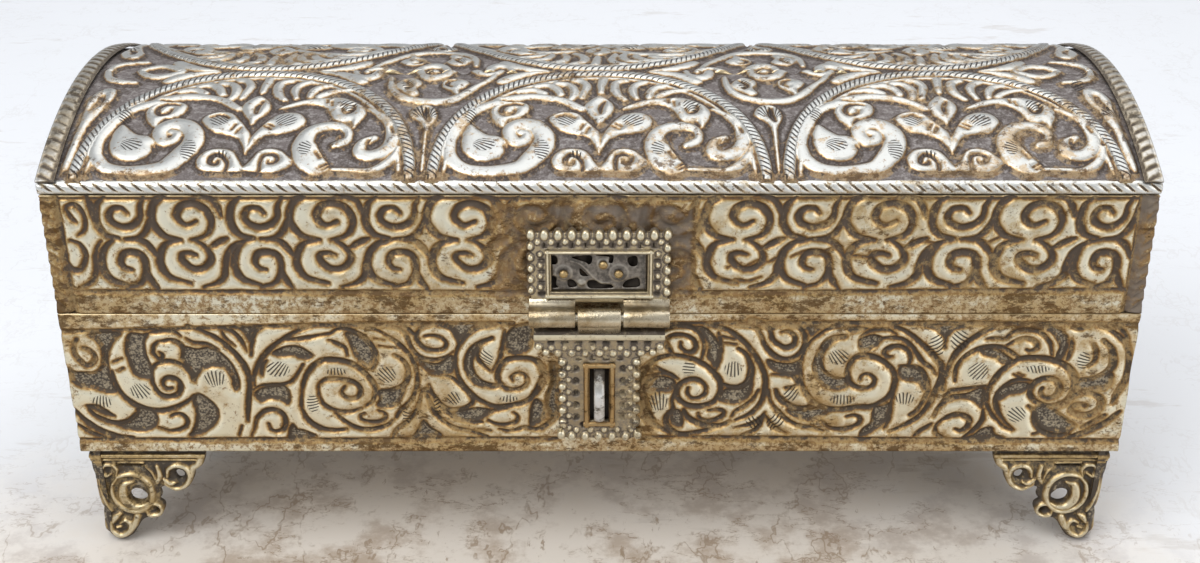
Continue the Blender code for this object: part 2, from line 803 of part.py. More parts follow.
def rivet_mesh(face, tail):
    """A round-headed rivet along Y at x = 0, z = 0: its head stands out from the face, towards -Y."""
    bm = bmesh.new()
    profile = [(0, face - rivet_head_height)]
    for step in range(1, 4):
        turn = math.radians(90 * step / 3)
        reach = rivet_head_radius * math.sin(turn)
        profile.append((reach, face - rivet_head_height * math.cos(turn)))
    profile += [(rivet_shank_radius, face), (rivet_shank_radius, tail), (0, tail)]
    verts = [bm.verts.new((reach, along, 0)) for reach, along in profile]
    edges = [bm.edges.new(pair) for pair in zip(verts, verts[1:])]
    bmesh.ops.spin(
        bm, geom=verts + edges, cent=(0, 0, 0), axis=(0, 1, 0), angle=2 * math.pi, steps=hole_segments, use_merge=True
    )
    bmesh.ops.remove_doubles(bm, verts=bm.verts, dist=edge_radius / 100)
    return mesh_from(bm, "rivet")


def build_hasp_rivets():
    face = front_face - 2 * seat_gap - scroll_thickness
    tail = front_face + wall_thickness + rivet_shank_radius
    for name, (across, level) in zip(("left", "right", "top"), hasp_rivet_places()):
        node = add_node(f"hasp_rivet_{name}", rivet_mesh(face, tail), GILT_BRASS, (across, 0, level))
        smooth_round(node)


def build_hasp_pin():
    reach = hasp_middle_knuckle / 2 + knuckle_gap + hasp_outer_knuckle
    rod = rod_mesh(hasp_pin_radius, (-reach, 0, 0), (reach, 0, 0))
    smooth_round(add_node("hasp_pin", rod, BRIGHT_STEEL, hasp_axis))


def flap_outline():
    """The T-shaped flap from the front, about the hasp's axis: a wide head, and a stem cut in below its beads."""
    seam = -hasp_axis_rise
    bar = flap_bar_width / 2
    field = bar - flap_bead_radius
    stem = flap_stem_width / 2
    bar_low = seam - flap_top - flap_bar_height
    field_low = seam - flap_field_bottom
    low = seam - flap_bottom
    corner = (field - flap_corner, field_low + flap_corner)
    right = [(bar, seam - flap_top), (bar, bar_low), (field, bar_low - flap_neck_drop), (field, corner[1])]
    right += arc_points(corner, flap_corner, 0, -90, 4)[1:]
    right += [(stem, field_low - flap_neck_drop), (stem, low + flap_foot_corner), (stem - flap_foot_taper, low)]
    left = [(-across, up) for across, up in reversed(right)]
    return right + left


def flap_beads():
    """Rows of beads on the flap: two under the bar, one down each side of the stem, one at the foot."""
    seam = -hasp_axis_rise
    field = flap_bar_width / 2 - flap_row_inset
    stem = flap_stem_width / 2 - flap_side_inset
    level = seam - flap_field_bottom + flap_row_rise
    half_step = field / (flap_row_count - 1)
    places = bead_row(-field, field, level, flap_row_count)
    places += bead_row(half_step - field, field - half_step, level + flap_row_gap, flap_row_count - 1)
    start = seam - flap_field_bottom - flap_side_drop
    step = (start - seam + flap_bottom - flap_side_stop) / (flap_side_count - 1)
    places += [(side * stem, start - step * index) for side in (-1, 1) for index in range(flap_side_count)]
    low = seam - flap_bottom
    places += bead_row(-flap_foot_half, flap_foot_half, low + flap_foot_rise, flap_foot_count)
    corner = flap_stem_width / 2 - flap_corner_inset
    corners = [(side * corner, low + flap_corner_rise) for side in (-1, 1)]
    return [
        ("UNION", beads_mesh(places, flap_front, flap_bead_radius)),
        ("UNION", beads_mesh(corners, flap_front, flap_corner_bead)),
    ]


def build_hasp_flap():
    seam = -hasp_axis_rise
    half = slot_width / 2
    slot_low = seam - slot_bottom
    slot_high = seam - slot_top
    slot_front = (-half, flap_front - cut_overrun, slot_low)
    slot_back = (half, flap_front + flap_thickness + cut_overrun, slot_high)
    outline = [(across, 0, up) for across, up in flap_outline()]
    plate = prism_mesh(outline, (0, flap_front, 0), (0, flap_thickness, 0), "flap")
    strap_y = (flap_front + flap_strap_inset, flap_front + flap_thickness - flap_strap_inset)
    strap = (strap_y, (seam - flap_top - flap_bar_height / 2, 0))
    spans = knuckle_spans(hasp_middle_knuckle, hasp_outer_knuckle, "middle")
    bore = hasp_pin_radius + pin_clearance
    steps = [("DIFFERENCE", box_mesh(slot_front, slot_back)), *flap_beads()]
    steps += knuckle_steps(spans, 0, 0, hasp_knuckle_radius, strap, bore)
    node = add_node("hasp_flap", combined(plate, steps, "hasp_flap"), WASHED_SILVER, hasp_axis)
    smooth_round(node)
    frame = frame_mesh(slot_width, slot_low, slot_high, frame_wire, flap_front - seat_gap, frame_height)
    soften_edges(add_node("hasp_slot_frame", frame, WASHED_SILVER, hasp_axis))


def build_staple():
    """A half-round loop of strap whose legs pass through the wall and are clinched inside."""
    middle = seam_level - staple_level
    reach = staple_outer_radius - staple_thickness / 2
    loop_centre = front_face - staple_out
    inner = front_face + wall_thickness + seat_gap + staple_thickness / 2
    points = []
    for side in (1, -1):
        leg = middle + side * reach
        bend_centre = (inner - staple_bend, leg + side * staple_bend)
        run = [(inner, leg + side * staple_clinch)]
        run += arc_points(bend_centre, staple_bend, 0, -90 * side, 4)
        run += [(loop_centre, leg)]
        points += run if side == 1 else run[::-1]
        if side == 1:
            points += arc_points((loop_centre, middle), reach, 90, 270, 12)[1:-1]
    wire = wire_curve([(0, along, up) for along, up in points], staple_thickness / 2, 2)
    widen = Matrix.Diagonal((staple_width / staple_thickness, 1, 1, 1))
    smooth_round(add_node("staple", curve_to_mesh(wire, widen, "staple"), BRIGHT_STEEL))


# Back hinges


def hinge_rivet_levels(side):
    """Level of the rivets of a leaf: side is 1 on the lid and -1 on the base."""
    return hinge_level + side * hinge_rivet_rise


def hinge_rivet_places(side):
    places = []
    for hinge in (-1, 1):
        for rivet in (-1, 1):
            places.append((hinge * hinge_place + rivet * hinge_rivet_spread, hinge_rivet_levels(side)))
    return places


def hinge_rivet_holes(side):
    return rivet_holes(hinge_rivet_places(side), -cut_overrun, wall_thickness + cut_overrun)


def hinge_leaf_mesh(side):
    """A leaf in place at x = 0 on the back: side 1 is the lid's, with the middle knuckle."""
    near = back_face + seat_gap
    far = near + hinge_leaf_thickness
    start = hinge_level + side * (hinge_knuckle_radius + knuckle_gap)
    end = hinge_level + side * hinge_leaf_height
    low, high = sorted((start, end))
    sheet = box_mesh((-hinge_width / 2, near, low), (hinge_width / 2, far, high))
    outer = (hinge_width - hinge_middle_knuckle) / 2 - knuckle_gap
    spans = knuckle_spans(hinge_middle_knuckle, outer, "middle" if side == 1 else "outer")
    strap_y = (near + hinge_strap_inset, far - hinge_strap_inset)
    strap_z = tuple(sorted((hinge_level, start + side * hinge_strap_lap)))
    axis_y = back_face + hinge_axis_out
    bore = hinge_pin_radius + pin_clearance
    steps = knuckle_steps(spans, axis_y, hinge_level, hinge_knuckle_radius, (strap_y, strap_z), bore)
    places = [(rivet * hinge_rivet_spread, hinge_rivet_levels(side)) for rivet in (-1, 1)]
    steps += rivet_holes(places, near - cut_overrun, far + cut_overrun)
    return combined(sheet, steps, "hinge_leaf")


def build_hinges():
    leaves = {"base": hinge_leaf_mesh(-1), "lid": hinge_leaf_mesh(1)}
    face = back_face + seat_gap * 2 + hinge_leaf_thickness
    tail = back_face - wall_thickness - rivet_shank_radius
    rivet = moved(rivet_mesh(-face, -tail), Matrix.Rotation(math.pi, 4, "Z"))
    axis = Vector((0, back_face + hinge_axis_out, hinge_level))
    for name, place in (("left", -hinge_place), ("right", hinge_place)):
        for owner, side in (("base", -1), ("lid", 1)):
            shift = Vector((place, 0, 0))
            leaf = moved(leaves[owner], Matrix.Translation(-axis))
            smooth_round(add_node(f"hinge_{name}_{owner}_leaf", leaf, DARK_BRASS, shift + axis))
            for index, rivet_side in enumerate((-1, 1), 1):
                spot = (place + rivet_side * hinge_rivet_spread, 0, hinge_rivet_levels(side))
                node = add_node(f"hinge_{name}_{owner}_rivet_{index}", rivet.copy(), GILT_BRASS, spot)
                smooth_round(node)
        pin = rod_mesh(hinge_pin_radius, (-hinge_width / 2, 0, 0), (hinge_width / 2, 0, 0))
        smooth_round(add_node(f"hinge_{name}_pin", pin, BRIGHT_STEEL, Vector((place, 0, 0)) + axis))


def main():
    clear_scene()
    build_base_walls()
    build_base_floor()
    build_feet()
    build_lid_walls()
    build_lid_ends()
    build_dome()
    build_dome_trim()
    build_hasp_plate()
    build_hasp_frame()
    build_hasp_scroll()
    build_hasp_rivets()
    build_hasp_pin()
    build_hasp_flap()
    build_staple()
    build_hinges()


main()
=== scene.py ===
"""Dress of a dome-lidded storage box of chased, silver-washed brass on pierced scroll feet.

The walls and the dome are worked as the real sheets are: lines and pockets are chased into
a flat sheet, the metal between them swells, and the sheet is then bent to its place.
Chased work is written in millimetres, everything else in metres.
"""

from __future__ import annotations

import logging
import math
from dataclasses import dataclass, field
from enum import Enum
from typing import Callable, Iterable, Sequence

import bmesh
import bpy
import numpy as np
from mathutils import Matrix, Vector


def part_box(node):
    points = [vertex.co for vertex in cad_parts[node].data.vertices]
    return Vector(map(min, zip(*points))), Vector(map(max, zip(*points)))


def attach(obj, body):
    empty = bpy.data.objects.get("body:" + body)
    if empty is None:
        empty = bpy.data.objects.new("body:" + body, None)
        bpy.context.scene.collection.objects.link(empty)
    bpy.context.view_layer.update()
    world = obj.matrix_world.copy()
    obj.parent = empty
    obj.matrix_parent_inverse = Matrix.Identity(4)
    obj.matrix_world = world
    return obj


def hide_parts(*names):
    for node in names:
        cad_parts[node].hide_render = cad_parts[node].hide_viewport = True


LOG = logging.getLogger("storage_box")
MM = 0.001

MIX_COLOR_A, MIX_COLOR_B, MIX_COLOR_RESULT = 6, 7, 2


# Shader expressions


class Graph:
    """The node tree of one material, with one method that makes any node."""

    def __init__(self, tree: bpy.types.NodeTree) -> None:
        """Takes the tree and empties it.

        Args:
            tree: Node tree of a material or a world.
        """
        self.tree = tree
        self.tree.nodes.clear()

    def node(self, kind: str, settings: dict | None = None, sockets: dict | None = None) -> bpy.types.Node:
        """Makes a node.

        Args:
            kind: Type name of the node.
            settings: Properties, set first. A ramp's stops are given as "stops".
            sockets: Values or links of its inputs, by name or index.

        Returns:
            The new node.
        """
        made = self.tree.nodes.new(kind)
        for name, value in (settings or {}).items():
            if name == "stops":
                self._stops(made.color_ramp, value)
            else:
                setattr(made, name, value)
        for key, value in (sockets or {}).items():
            self.feed(made.inputs[key], value)
        return made

    def _stops(self, ramp: bpy.types.ColorRamp, stops: Sequence[tuple]) -> None:
        """Sets a ramp's stops.

        Args:
            ramp: The ramp to set.
            stops: Pairs of a place and a colour.
        """
        while len(ramp.elements) < len(stops):
            ramp.elements.new(1.0)
        for element, (place, color) in zip(ramp.elements, stops):
            element.position = place
            element.color = (*color[:3], 1.0)

    def feed(self, socket: bpy.types.NodeSocket, value: "Value | float | tuple") -> None:
        """Links or sets one input.

        Args:
            socket: The input.
            value: A wrapped socket, a number, or a colour or vector.
        """
        if isinstance(value, Value):
            self.tree.links.new(value.socket, socket)
        elif isinstance(value, tuple) and len(value) == 3 and socket.type == "RGBA":
            socket.default_value = (*value, 1.0)
        else:
            socket.default_value = value

    def value(self, node: bpy.types.Node, output: str | int = 0) -> "Value":
        """Wraps an output of a node."""
        return Value(self, node.outputs[output])

    def math(self, operation: str, *terms: "Value | float") -> "Value":
        """Adds a Math node.

        Args:
            operation: Name of the operation.
            terms: Its inputs in order.

        Returns:
            The result.
        """
        return self.value(self.node("ShaderNodeMath", {"operation": operation}, dict(enumerate(terms))))

    def attribute(self, name: str) -> "Value":
        """Reads a number stored on the mesh's points."""
        return self.value(self.node("ShaderNodeAttribute", {"attribute_name": name}), "Fac")

    def place(self) -> "Value":
        """Object coordinates."""
        return self.value(self.node("ShaderNodeTexCoord"), "Object")

    def noise(self, scale: float, detail: float = 3.0, rough: float = 0.55, stretch: tuple = (1, 1, 1)) -> "Value":
        """Noise over the object, about 0.5.

        Args:
            scale: How many spots to a metre.
            detail: Octaves.
            rough: Weight of the fine octaves.
            stretch: Scale of each axis, for streaks.

        Returns:
            The noise value.
        """
        mapped = self.node("ShaderNodeMapping", None, {"Vector": self.place(), "Scale": stretch})
        sockets = {"Vector": self.value(mapped), "Scale": scale, "Detail": detail, "Roughness": rough}
        return self.value(self.node("ShaderNodeTexNoise", None, sockets), 0)

    def cells(self, scale: float) -> "Value":
        """Distance to the nearest of scattered points, for punched dots."""
        sockets = {"Vector": self.place(), "Scale": scale}
        return self.value(self.node("ShaderNodeTexVoronoi", None, sockets), "Distance")

    def span(self, value: "Value", low: float, high: float) -> "Value":
        """Smooth step from 0 at low to 1 at high.

        Args:
            value: What is read.
            low: Where the result is 0. It may lie above high.
            high: Where the result is 1.

        Returns:
            The step.
        """
        sockets = {"Value": value, "From Min": low, "From Max": high}
        settings = {"interpolation_type": "SMOOTHSTEP", "clamp": True}
        return self.value(self.node("ShaderNodeMapRange", settings, sockets))

    def blend(self, share: "Value", low: "Value | tuple", high: "Value | tuple") -> "Value":
        """Mixes two colours.

        Args:
            share: Share of the second one.
            low: First colour.
            high: Second colour.

        Returns:
            The colour.
        """
        settings = {"data_type": "RGBA", "clamp_factor": True}
        made = self.node("ShaderNodeMix", settings, {0: share, MIX_COLOR_A: low, MIX_COLOR_B: high})
        return self.value(made, MIX_COLOR_RESULT)

    def bump(self, height: "Value", distance: float, strength: float) -> "Value":
        """Turns a height into a normal.

        Args:
            height: The height value.
            distance: Metres for a height of 1.
            strength: How strongly it shows.

        Returns:
            The normal.
        """
        sockets = {"Height": height, "Distance": distance, "Strength": strength}
        return self.value(self.node("ShaderNodeBump", None, sockets))

    def surface(self, **sockets: "Value | float") -> None:
        """Ends the tree in a Principled surface.

        Args:
            sockets: Its inputs, with an underscore for each space in a name.
        """
        inputs = {name.replace("_", " "): value for name, value in sockets.items()}
        shader = self.node("ShaderNodeBsdfPrincipled", None, inputs)
        self.node("ShaderNodeOutputMaterial", None, {"Surface": self.value(shader)})


def arithmetic(operation: str, swapped: bool = False) -> Callable[["Value", "Value | float"], "Value"]:
    """Makes an operator of Value.

    Args:
        operation: Name of the Math node's operation.
        swapped: Whether the other term comes first.

    Returns:
        The method.
    """

    def method(self: "Value", other: "Value | float") -> "Value":
        """Adds a Math node for this term and the other one."""
        return self.graph.math(operation, *((other, self) if swapped else (self, other)))

    return method


class Value:
    """A wrapped socket: arithmetic on it adds Math nodes."""

    def __init__(self, graph: Graph, socket: bpy.types.NodeSocket) -> None:
        """Keeps the socket and the graph that it is in."""
        self.graph = graph
        self.socket = socket

    __add__ = arithmetic("ADD")
    __radd__ = arithmetic("ADD", True)
    __sub__ = arithmetic("SUBTRACT")
    __rsub__ = arithmetic("SUBTRACT", True)
    __mul__ = arithmetic("MULTIPLY")
    __rmul__ = arithmetic("MULTIPLY", True)


# Finishes


def dimmed(color: tuple, *shares: float) -> tuple:
    """A colour times one share, or times a share for each channel."""
    return tuple(part * share for part, share in zip(color, shares * (3 // len(shares))))


def new_material(name: str) -> tuple:
    """Starts a material.

    Args:
        name: Its name.

    Returns:
        The material and its empty graph.
    """
    material = bpy.data.materials.new(name)
    material.use_nodes = True
    return material, Graph(material.node_tree)


@dataclass(frozen=True)
class ChasedMetal:
    """Silver-washed brass with dark lines chased into it, and dark oxide in the hollows that also serves as painted
    shade there.

    Attributes:
        name: Name of the material.
        silver: The wash.
        gilt: Brass where the wash is thin.
        rust: Brown spots, and the edge of a hollow.
        patina_and_shade: The darkest colour, in the hollows: oxide, and painted shade.
        stops: Where the ramp from a hollow up to proud metal changes colour.
        warmth: How much brass shows through.
        stipple: How strongly the sunk ground is punched.
        stippled_from: Depth where the punched ground starts.
        speck: Bare metal in the sunk ground.
        ground: The sunk ground.
    """

    name: str
    silver: tuple
    gilt: tuple
    rust: tuple
    patina_and_shade: tuple
    stops: tuple
    warmth: float
    stipple: float
    stippled_from: float = -0.5
    speck: tuple = (0.42, 0.35, 0.24)
    ground: tuple = (0.072, 0.058, 0.046)

    PROUD = 1.7
    # Smoky darkening for dirty places, which also serves the patches of painted shade, and a near-black painted shade
    # for the holes behind the slot and the window.
    SMOKE_AND_SHADE = (0.185, 0.156, 0.128)
    HOLE_SHADE = (0.020, 0.015, 0.011)
    BROAD_SPOTS, MIDDLE_SPOTS, FINE_SPOTS, PUNCHED_DOTS = 34.0, 210.0, 950.0, 1650.0
    RELIEF = 0.00013

    def make(self) -> bpy.types.Material:
        """Builds the material, which reads the chased sheet's point values.

        Returns:
            The material.
        """
        material, g = new_material(self.name)
        depth = g.math("MINIMUM", g.attribute("chase_depth"), self.PROUD)
        grime = g.attribute("grime")
        broad = g.noise(self.BROAD_SPOTS)
        mid = g.noise(self.MIDDLE_SPOTS, 4.0, 0.62)
        fine = g.noise(self.FINE_SPOTS, 4.0, 0.6)
        # Stains and the patches of painted shade push the metal down the ramp towards its darkest colours.
        dulled_and_shaded = g.math("MAXIMUM", grime * (1.5 + (broad - 0.5) * 5.0 + (mid - 0.5) * 9.0), 0.0)
        edge = depth + (mid - 0.5) * 0.85 + (fine - 0.5) * 0.70 - dulled_and_shaded * 0.55
        metal, stained = self.wash(g, edge, grime, broad, mid)
        deep = g.span(depth + (fine - 0.5) * 0.5, -0.55, -1.15)
        metal = g.blend(deep, metal, self.floor(g, mid))
        # Smoky darkening over dirty places and over the patches of painted shade.
        smoke_and_shade = g.span(grime + (broad - 0.5) * 0.9 + (mid - 0.5) * 0.9, 0.66, 1.05)
        metal = g.blend(smoke_and_shade * g.span(edge, 0.9, -0.5) * 0.85, metal, self.SMOKE_AND_SHADE)
        # Near-black painted shade, which only the strong patches behind the slot and the window reach.
        metal = g.blend(g.span(grime, 1.2, 2.1) * 0.9, metal, self.HOLE_SHADE)
        sunk = g.span(depth, self.stippled_from, self.stippled_from - 0.3)
        dots = g.span(g.cells(self.PUNCHED_DOTS) + (fine - 0.5) * 0.5, 0.60, 0.36) * sunk * self.stipple
        metal = g.blend(dots * 0.55, metal, self.speck)
        lined = g.attribute("line_mask")
        wave = g.math("ABSOLUTE", g.math("FRACT", g.attribute("line_phase")) - 0.5) + (1 - lined) * 0.2
        line = g.span(wave, 0.27, 0.13) * g.span(lined, 0.08, 0.4)
        dark = g.math("MAXIMUM", g.span(edge, 0.22, -0.10), line)
        relief = (fine - 0.5) * 0.55 + (mid - 0.5) * 0.7 - line * 1.6 + dots * 1.3
        g.surface(
            Base_Color=g.blend(line * 0.92, metal, dimmed(self.patina_and_shade, 0.6)),
            Roughness=0.38 + dark * 0.22 + (mid - 0.5) * 0.26 + grime * 0.10 + stained * 0.06,
            Metallic=0.92 - dark * 0.52,
            Normal=g.bump(relief, self.RELIEF, 0.9),
            Specular_IOR_Level=0.35,
        )
        return material

    def wash(self, g: Graph, edge: Value, grime: Value, broad: Value, mid: Value) -> tuple:
        """Colours the raised metal: wash, brass, stains, spots and blotches.

        Args:
            g: The graph.
            edge: Ragged distance from the nearest hollow.
            grime: How dirty the place is, and how much painted shade lies there.
            broad: Broad noise.
            mid: Noise of middle size.

        Returns:
            The colour, and where it is stained.
        """
        limits = {"Value": edge, "From Min": -0.4, "From Max": 1.5}
        share = g.value(g.node("ShaderNodeMapRange", {"clamp": True}, limits))
        cool = dimmed(self.silver, 0.86, 0.89, 0.93)
        # The ramp's dark low end, in and beside the hollows, is oxide and also painted shade; then rust, brass, the
        # wash and its cooler middle.
        colors = (self.patina_and_shade, self.patina_and_shade, self.rust, self.gilt, self.silver, cool)
        ramp = g.node("ShaderNodeValToRGB", {"stops": list(zip((0.0, *self.stops, 1.0), colors))}, {0: share})
        warm = g.span(broad + (mid - 0.5) * 0.6, 0.70 - self.warmth * 0.5, 0.92 - self.warmth * 0.40)
        metal = g.blend(warm * g.span(edge, 0.2, 0.9) * 0.75, g.value(ramp), self.gilt)
        worn = g.noise(430.0, 5.0, 0.72)
        stained = g.span(worn + (broad - 0.5) * 0.7 + grime * 0.36, 0.55 - self.warmth * 0.06, 0.68)
        metal = g.blend(stained * 0.70, metal, self.gilt)
        spots = g.span(g.noise(1150.0, 4.0, 0.7) + (worn - 0.5) * 0.6 + grime * 0.22, 0.59, 0.70)
        metal = g.blend(spots * 0.70, metal, self.rust)
        streaky = g.noise(330.0, 6.0, 0.75, (0.8, 0.8, 1.5))
        blotch = g.span(streaky + (broad - 0.5) * 0.5 + grime * 0.165, 0.59, 0.68)
        return g.blend(blotch * 0.82, metal, dimmed(self.rust, 0.45)), stained

    def floor(self, g: Graph, mid: Value) -> Value:
        """Colours the sunk ground between the leaves.

        Args:
            g: The graph.
            mid: Noise of middle size.

        Returns:
            The colour.
        """
        scraped = g.noise(850.0, 5.0, 0.72, (0.75, 1.0, 1.0))
        bare = g.blend(g.span(scraped, 0.49, 0.62) * 0.75, self.ground, self.speck)
        return g.blend(g.span(mid + (scraped - 0.5) * 0.6, 0.47, 0.36) * 0.6, bare, self.patina_and_shade)


@dataclass(frozen=True)
class PlainMetal:
    """Unchased metal: worn where it stands proud, darker in hollow corners, with patches of stain.

    Attributes:
        name: Name of the material.
        bright: The worn metal.
        stain: Patches of stain.
        dark: The colour of pits and of hollow corners.
        roughness: Roughness of the worn metal.
        stained: How much is stained.
        pitting: How strongly it is pitted.
    """

    name: str
    bright: tuple
    stain: tuple
    dark: tuple = (0.09, 0.07, 0.05)
    roughness: float = 0.36
    stained: float = 0.5
    pitting: float = 0.5

    BROAD_SPOTS, FINE_SPOTS = 120.0, 1100.0
    RELIEF = 0.00010

    def make(self) -> bpy.types.Material:
        """Builds the material.

        Returns:
            The material.
        """
        material, g = new_material(self.name)
        broad = g.noise(self.BROAD_SPOTS, 4.0, 0.6)
        fine = g.noise(self.FINE_SPOTS, 4.0, 0.65)
        worn = g.span(g.value(g.node("ShaderNodeNewGeometry"), "Pointiness") + (fine - 0.5) * 0.05, 0.47, 0.54)
        patches = g.span(broad, 0.62 - self.stained * 0.3, 0.80 - self.stained * 0.2)
        color = g.blend(patches * 0.8, self.bright, self.stain)
        color = g.blend(g.span(fine + (broad - 0.5) * 0.4, 0.60, 0.72) * 0.7 * self.pitting, color, self.dark)
        g.surface(
            # Hollow corners, where Pointiness is low, are darker.
            Base_Color=g.blend((1 - worn) * 0.75, color, self.dark),
            Roughness=self.roughness + (fine - 0.5) * 0.25 + (1 - worn) * 0.2,
            Metallic=0.95,
            Normal=g.bump((fine - 0.5) + (broad - 0.5) * 1.5, self.RELIEF, 0.8),
        )
        return material


FINISHES = {
    "dome": ChasedMetal(
        "chased_dome", (0.56, 0.545, 0.50), (0.42, 0.30, 0.165), (0.20, 0.115, 0.055), (0.060, 0.045, 0.037),
        (0.19, 0.27, 0.35, 0.47), 0.15, 0.35, 0.0, (0.285, 0.262, 0.250), (0.128, 0.108, 0.102),
    ),
    "lid": ChasedMetal(
        "chased_lid", (0.72, 0.655, 0.49), (0.41, 0.285, 0.125), (0.20, 0.105, 0.038), (0.085, 0.062, 0.044),
        (0.16, 0.27, 0.40, 0.64), 0.55, 0.0,
    ),
    "base": ChasedMetal(
        "chased_base", (0.80, 0.72, 0.53), (0.44, 0.30, 0.13), (0.20, 0.105, 0.038), (0.072, 0.053, 0.036),
        (0.17, 0.27, 0.38, 0.60), 0.5, 0.9,
    ),
    "rope": ChasedMetal(
        "rope_silver", (0.68, 0.66, 0.60), (0.47, 0.38, 0.24), (0.22, 0.14, 0.065), (0.075, 0.056, 0.040),
        (0.14, 0.26, 0.34, 0.46), 0.12, 0.0,
    ),
    "band": ChasedMetal(
        "banded_silver", (0.50, 0.475, 0.43), (0.32, 0.275, 0.205), (0.16, 0.125, 0.085), (0.072, 0.056, 0.044),
        (0.16, 0.32, 0.46, 0.66), 0.35, 0.0,
    ),
    # The beaded brass's very dark ground colour shows only in the pits, as painted shade.
    "hasp": ChasedMetal(
        "beaded_brass", (0.71, 0.635, 0.46), (0.42, 0.335, 0.20), (0.215, 0.178, 0.135), (0.080, 0.062, 0.046),
        (0.06, 0.20, 0.46, 0.70), 0.35, 0.0, ground=(0.034, 0.026, 0.019),
    ),
    "foot": ChasedMetal(
        "cast_brass", (0.68, 0.60, 0.42), (0.44, 0.32, 0.15), (0.17, 0.115, 0.06), (0.070, 0.056, 0.042),
        (0.16, 0.28, 0.38, 0.56), 0.35, 0.0,
    ),
    "scroll": ChasedMetal(
        "cast_scroll", (0.55, 0.50, 0.42), (0.33, 0.30, 0.25), (0.215, 0.190, 0.160), (0.085, 0.074, 0.062),
        (0.2, 0.30, 0.44, 0.78), 0.0, 0.0,
    ),
    "slot": ChasedMetal(
        "slot_brass", (0.46, 0.35, 0.19), (0.38, 0.24, 0.10), (0.17, 0.105, 0.05), (0.080, 0.060, 0.042),
        (0.2, 0.32, 0.50, 0.86), 0.6, 0.0,
    ),
    "loop": ChasedMetal(
        "bright_loop", (0.72, 0.71, 0.69), (0.46, 0.44, 0.40), (0.20, 0.17, 0.13), (0.050, 0.040, 0.030),
        (0.1, 0.25, 0.45, 0.72), 0.0, 0.0,
    ),
    "knuckle": PlainMetal(
        "rolled_silver", (0.56, 0.49, 0.36), (0.27, 0.19, 0.09), (0.05, 0.036, 0.024), 0.28, 0.75, 0.9
    ),
    "silver": PlainMetal("worn_silver", (0.56, 0.52, 0.42), (0.34, 0.26, 0.14)),
    "brass": PlainMetal("worn_brass", (0.50, 0.38, 0.19), (0.27, 0.17, 0.07), stained=0.7),
    "inside": PlainMetal("plain_brass", (0.55, 0.44, 0.27), (0.34, 0.25, 0.14), stained=0.8),
}


# Chasing: lines and pockets on a flat sheet, in millimetres


class Mark(Enum):
    """What a stroke does to the sheet."""

    CUT = "cut"
    RAISE = "raise"


@dataclass(frozen=True)
class Stroke:
    """A line with a width that changes along it, or a closed pocket.

    Attributes:
        mark: Whether it is cut in or raised.
        points: Its places, as u, v pairs in a row.
        widths: Half-widths, spread evenly along it. A pocket has none.
    """

    mark: Mark
    points: tuple
    widths: tuple = ()

    def path(self) -> np.ndarray:
        """The places as an array of pairs."""
        return np.array(self.points, float).reshape(-1, 2)


def cut(width: float, *points: float) -> Stroke:
    """A chased line that thins to its ends.

    Args:
        width: Half-width at its middle.
        points: Its places, u and v in turn.

    Returns:
        The stroke.
    """
    return Stroke(Mark.CUT, points, (width * 0.45, width, width, width * 0.45))


def pocket(*points: float) -> Stroke:
    """A sunk pocket of stippled ground, as a closed outline."""
    return Stroke(Mark.CUT, points)


def leaf(*points: float) -> Stroke:
    """A raised leaf, as a closed outline."""
    return Stroke(Mark.RAISE, points)


def ridge(widths: tuple, *points: float) -> Stroke:
    """A raised stem or leaf.

    Args:
        widths: Half-widths from its start to its end.
        points: Its places, u and v in turn.

    Returns:
        The stroke.
    """
    return Stroke(Mark.RAISE, points, widths)


@dataclass(frozen=True)
class Hatching:
    """A patch of fine engraved lines that fan from a point.

    Attributes:
        centre: Its middle.
        reach: Half its width and half its height.
        fan: The point that the lines fan from.
        pitch: Distance between the lines.
    """

    centre: tuple
    reach: tuple
    fan: tuple
    pitch: float = 0.78


def smooth_path(points: np.ndarray, closed: bool = False, steps: int = 6) -> np.ndarray:
    """A smooth curve through points.

    Args:
        points: Places to pass through.
        closed: Whether it returns to its start.
        steps: Points for each stretch.

    Returns:
        The points of the curve.
    """
    count = len(points)
    if count < 3:
        return points
    if closed:
        around = np.vstack([points[-1:], points, points[:2]])
        spans = count
    else:
        around = np.vstack([2 * points[:1] - points[1:2], points, 2 * points[-1:] - points[-2:-1]])
        spans = count - 1
    share = np.linspace(0, 1, steps, endpoint=False)[:, None]
    rows = []
    for index in range(spans):
        a, b, c, d = around[index : index + 4]
        curve = 2 * b + (c - a) * share + (2 * a - 5 * b + 4 * c - d) * share**2
        rows.append(0.5 * (curve + (3 * b - a - 3 * c + d) * share**3))
    if not closed:
        rows.append(points[-1:])
    return np.vstack(rows)


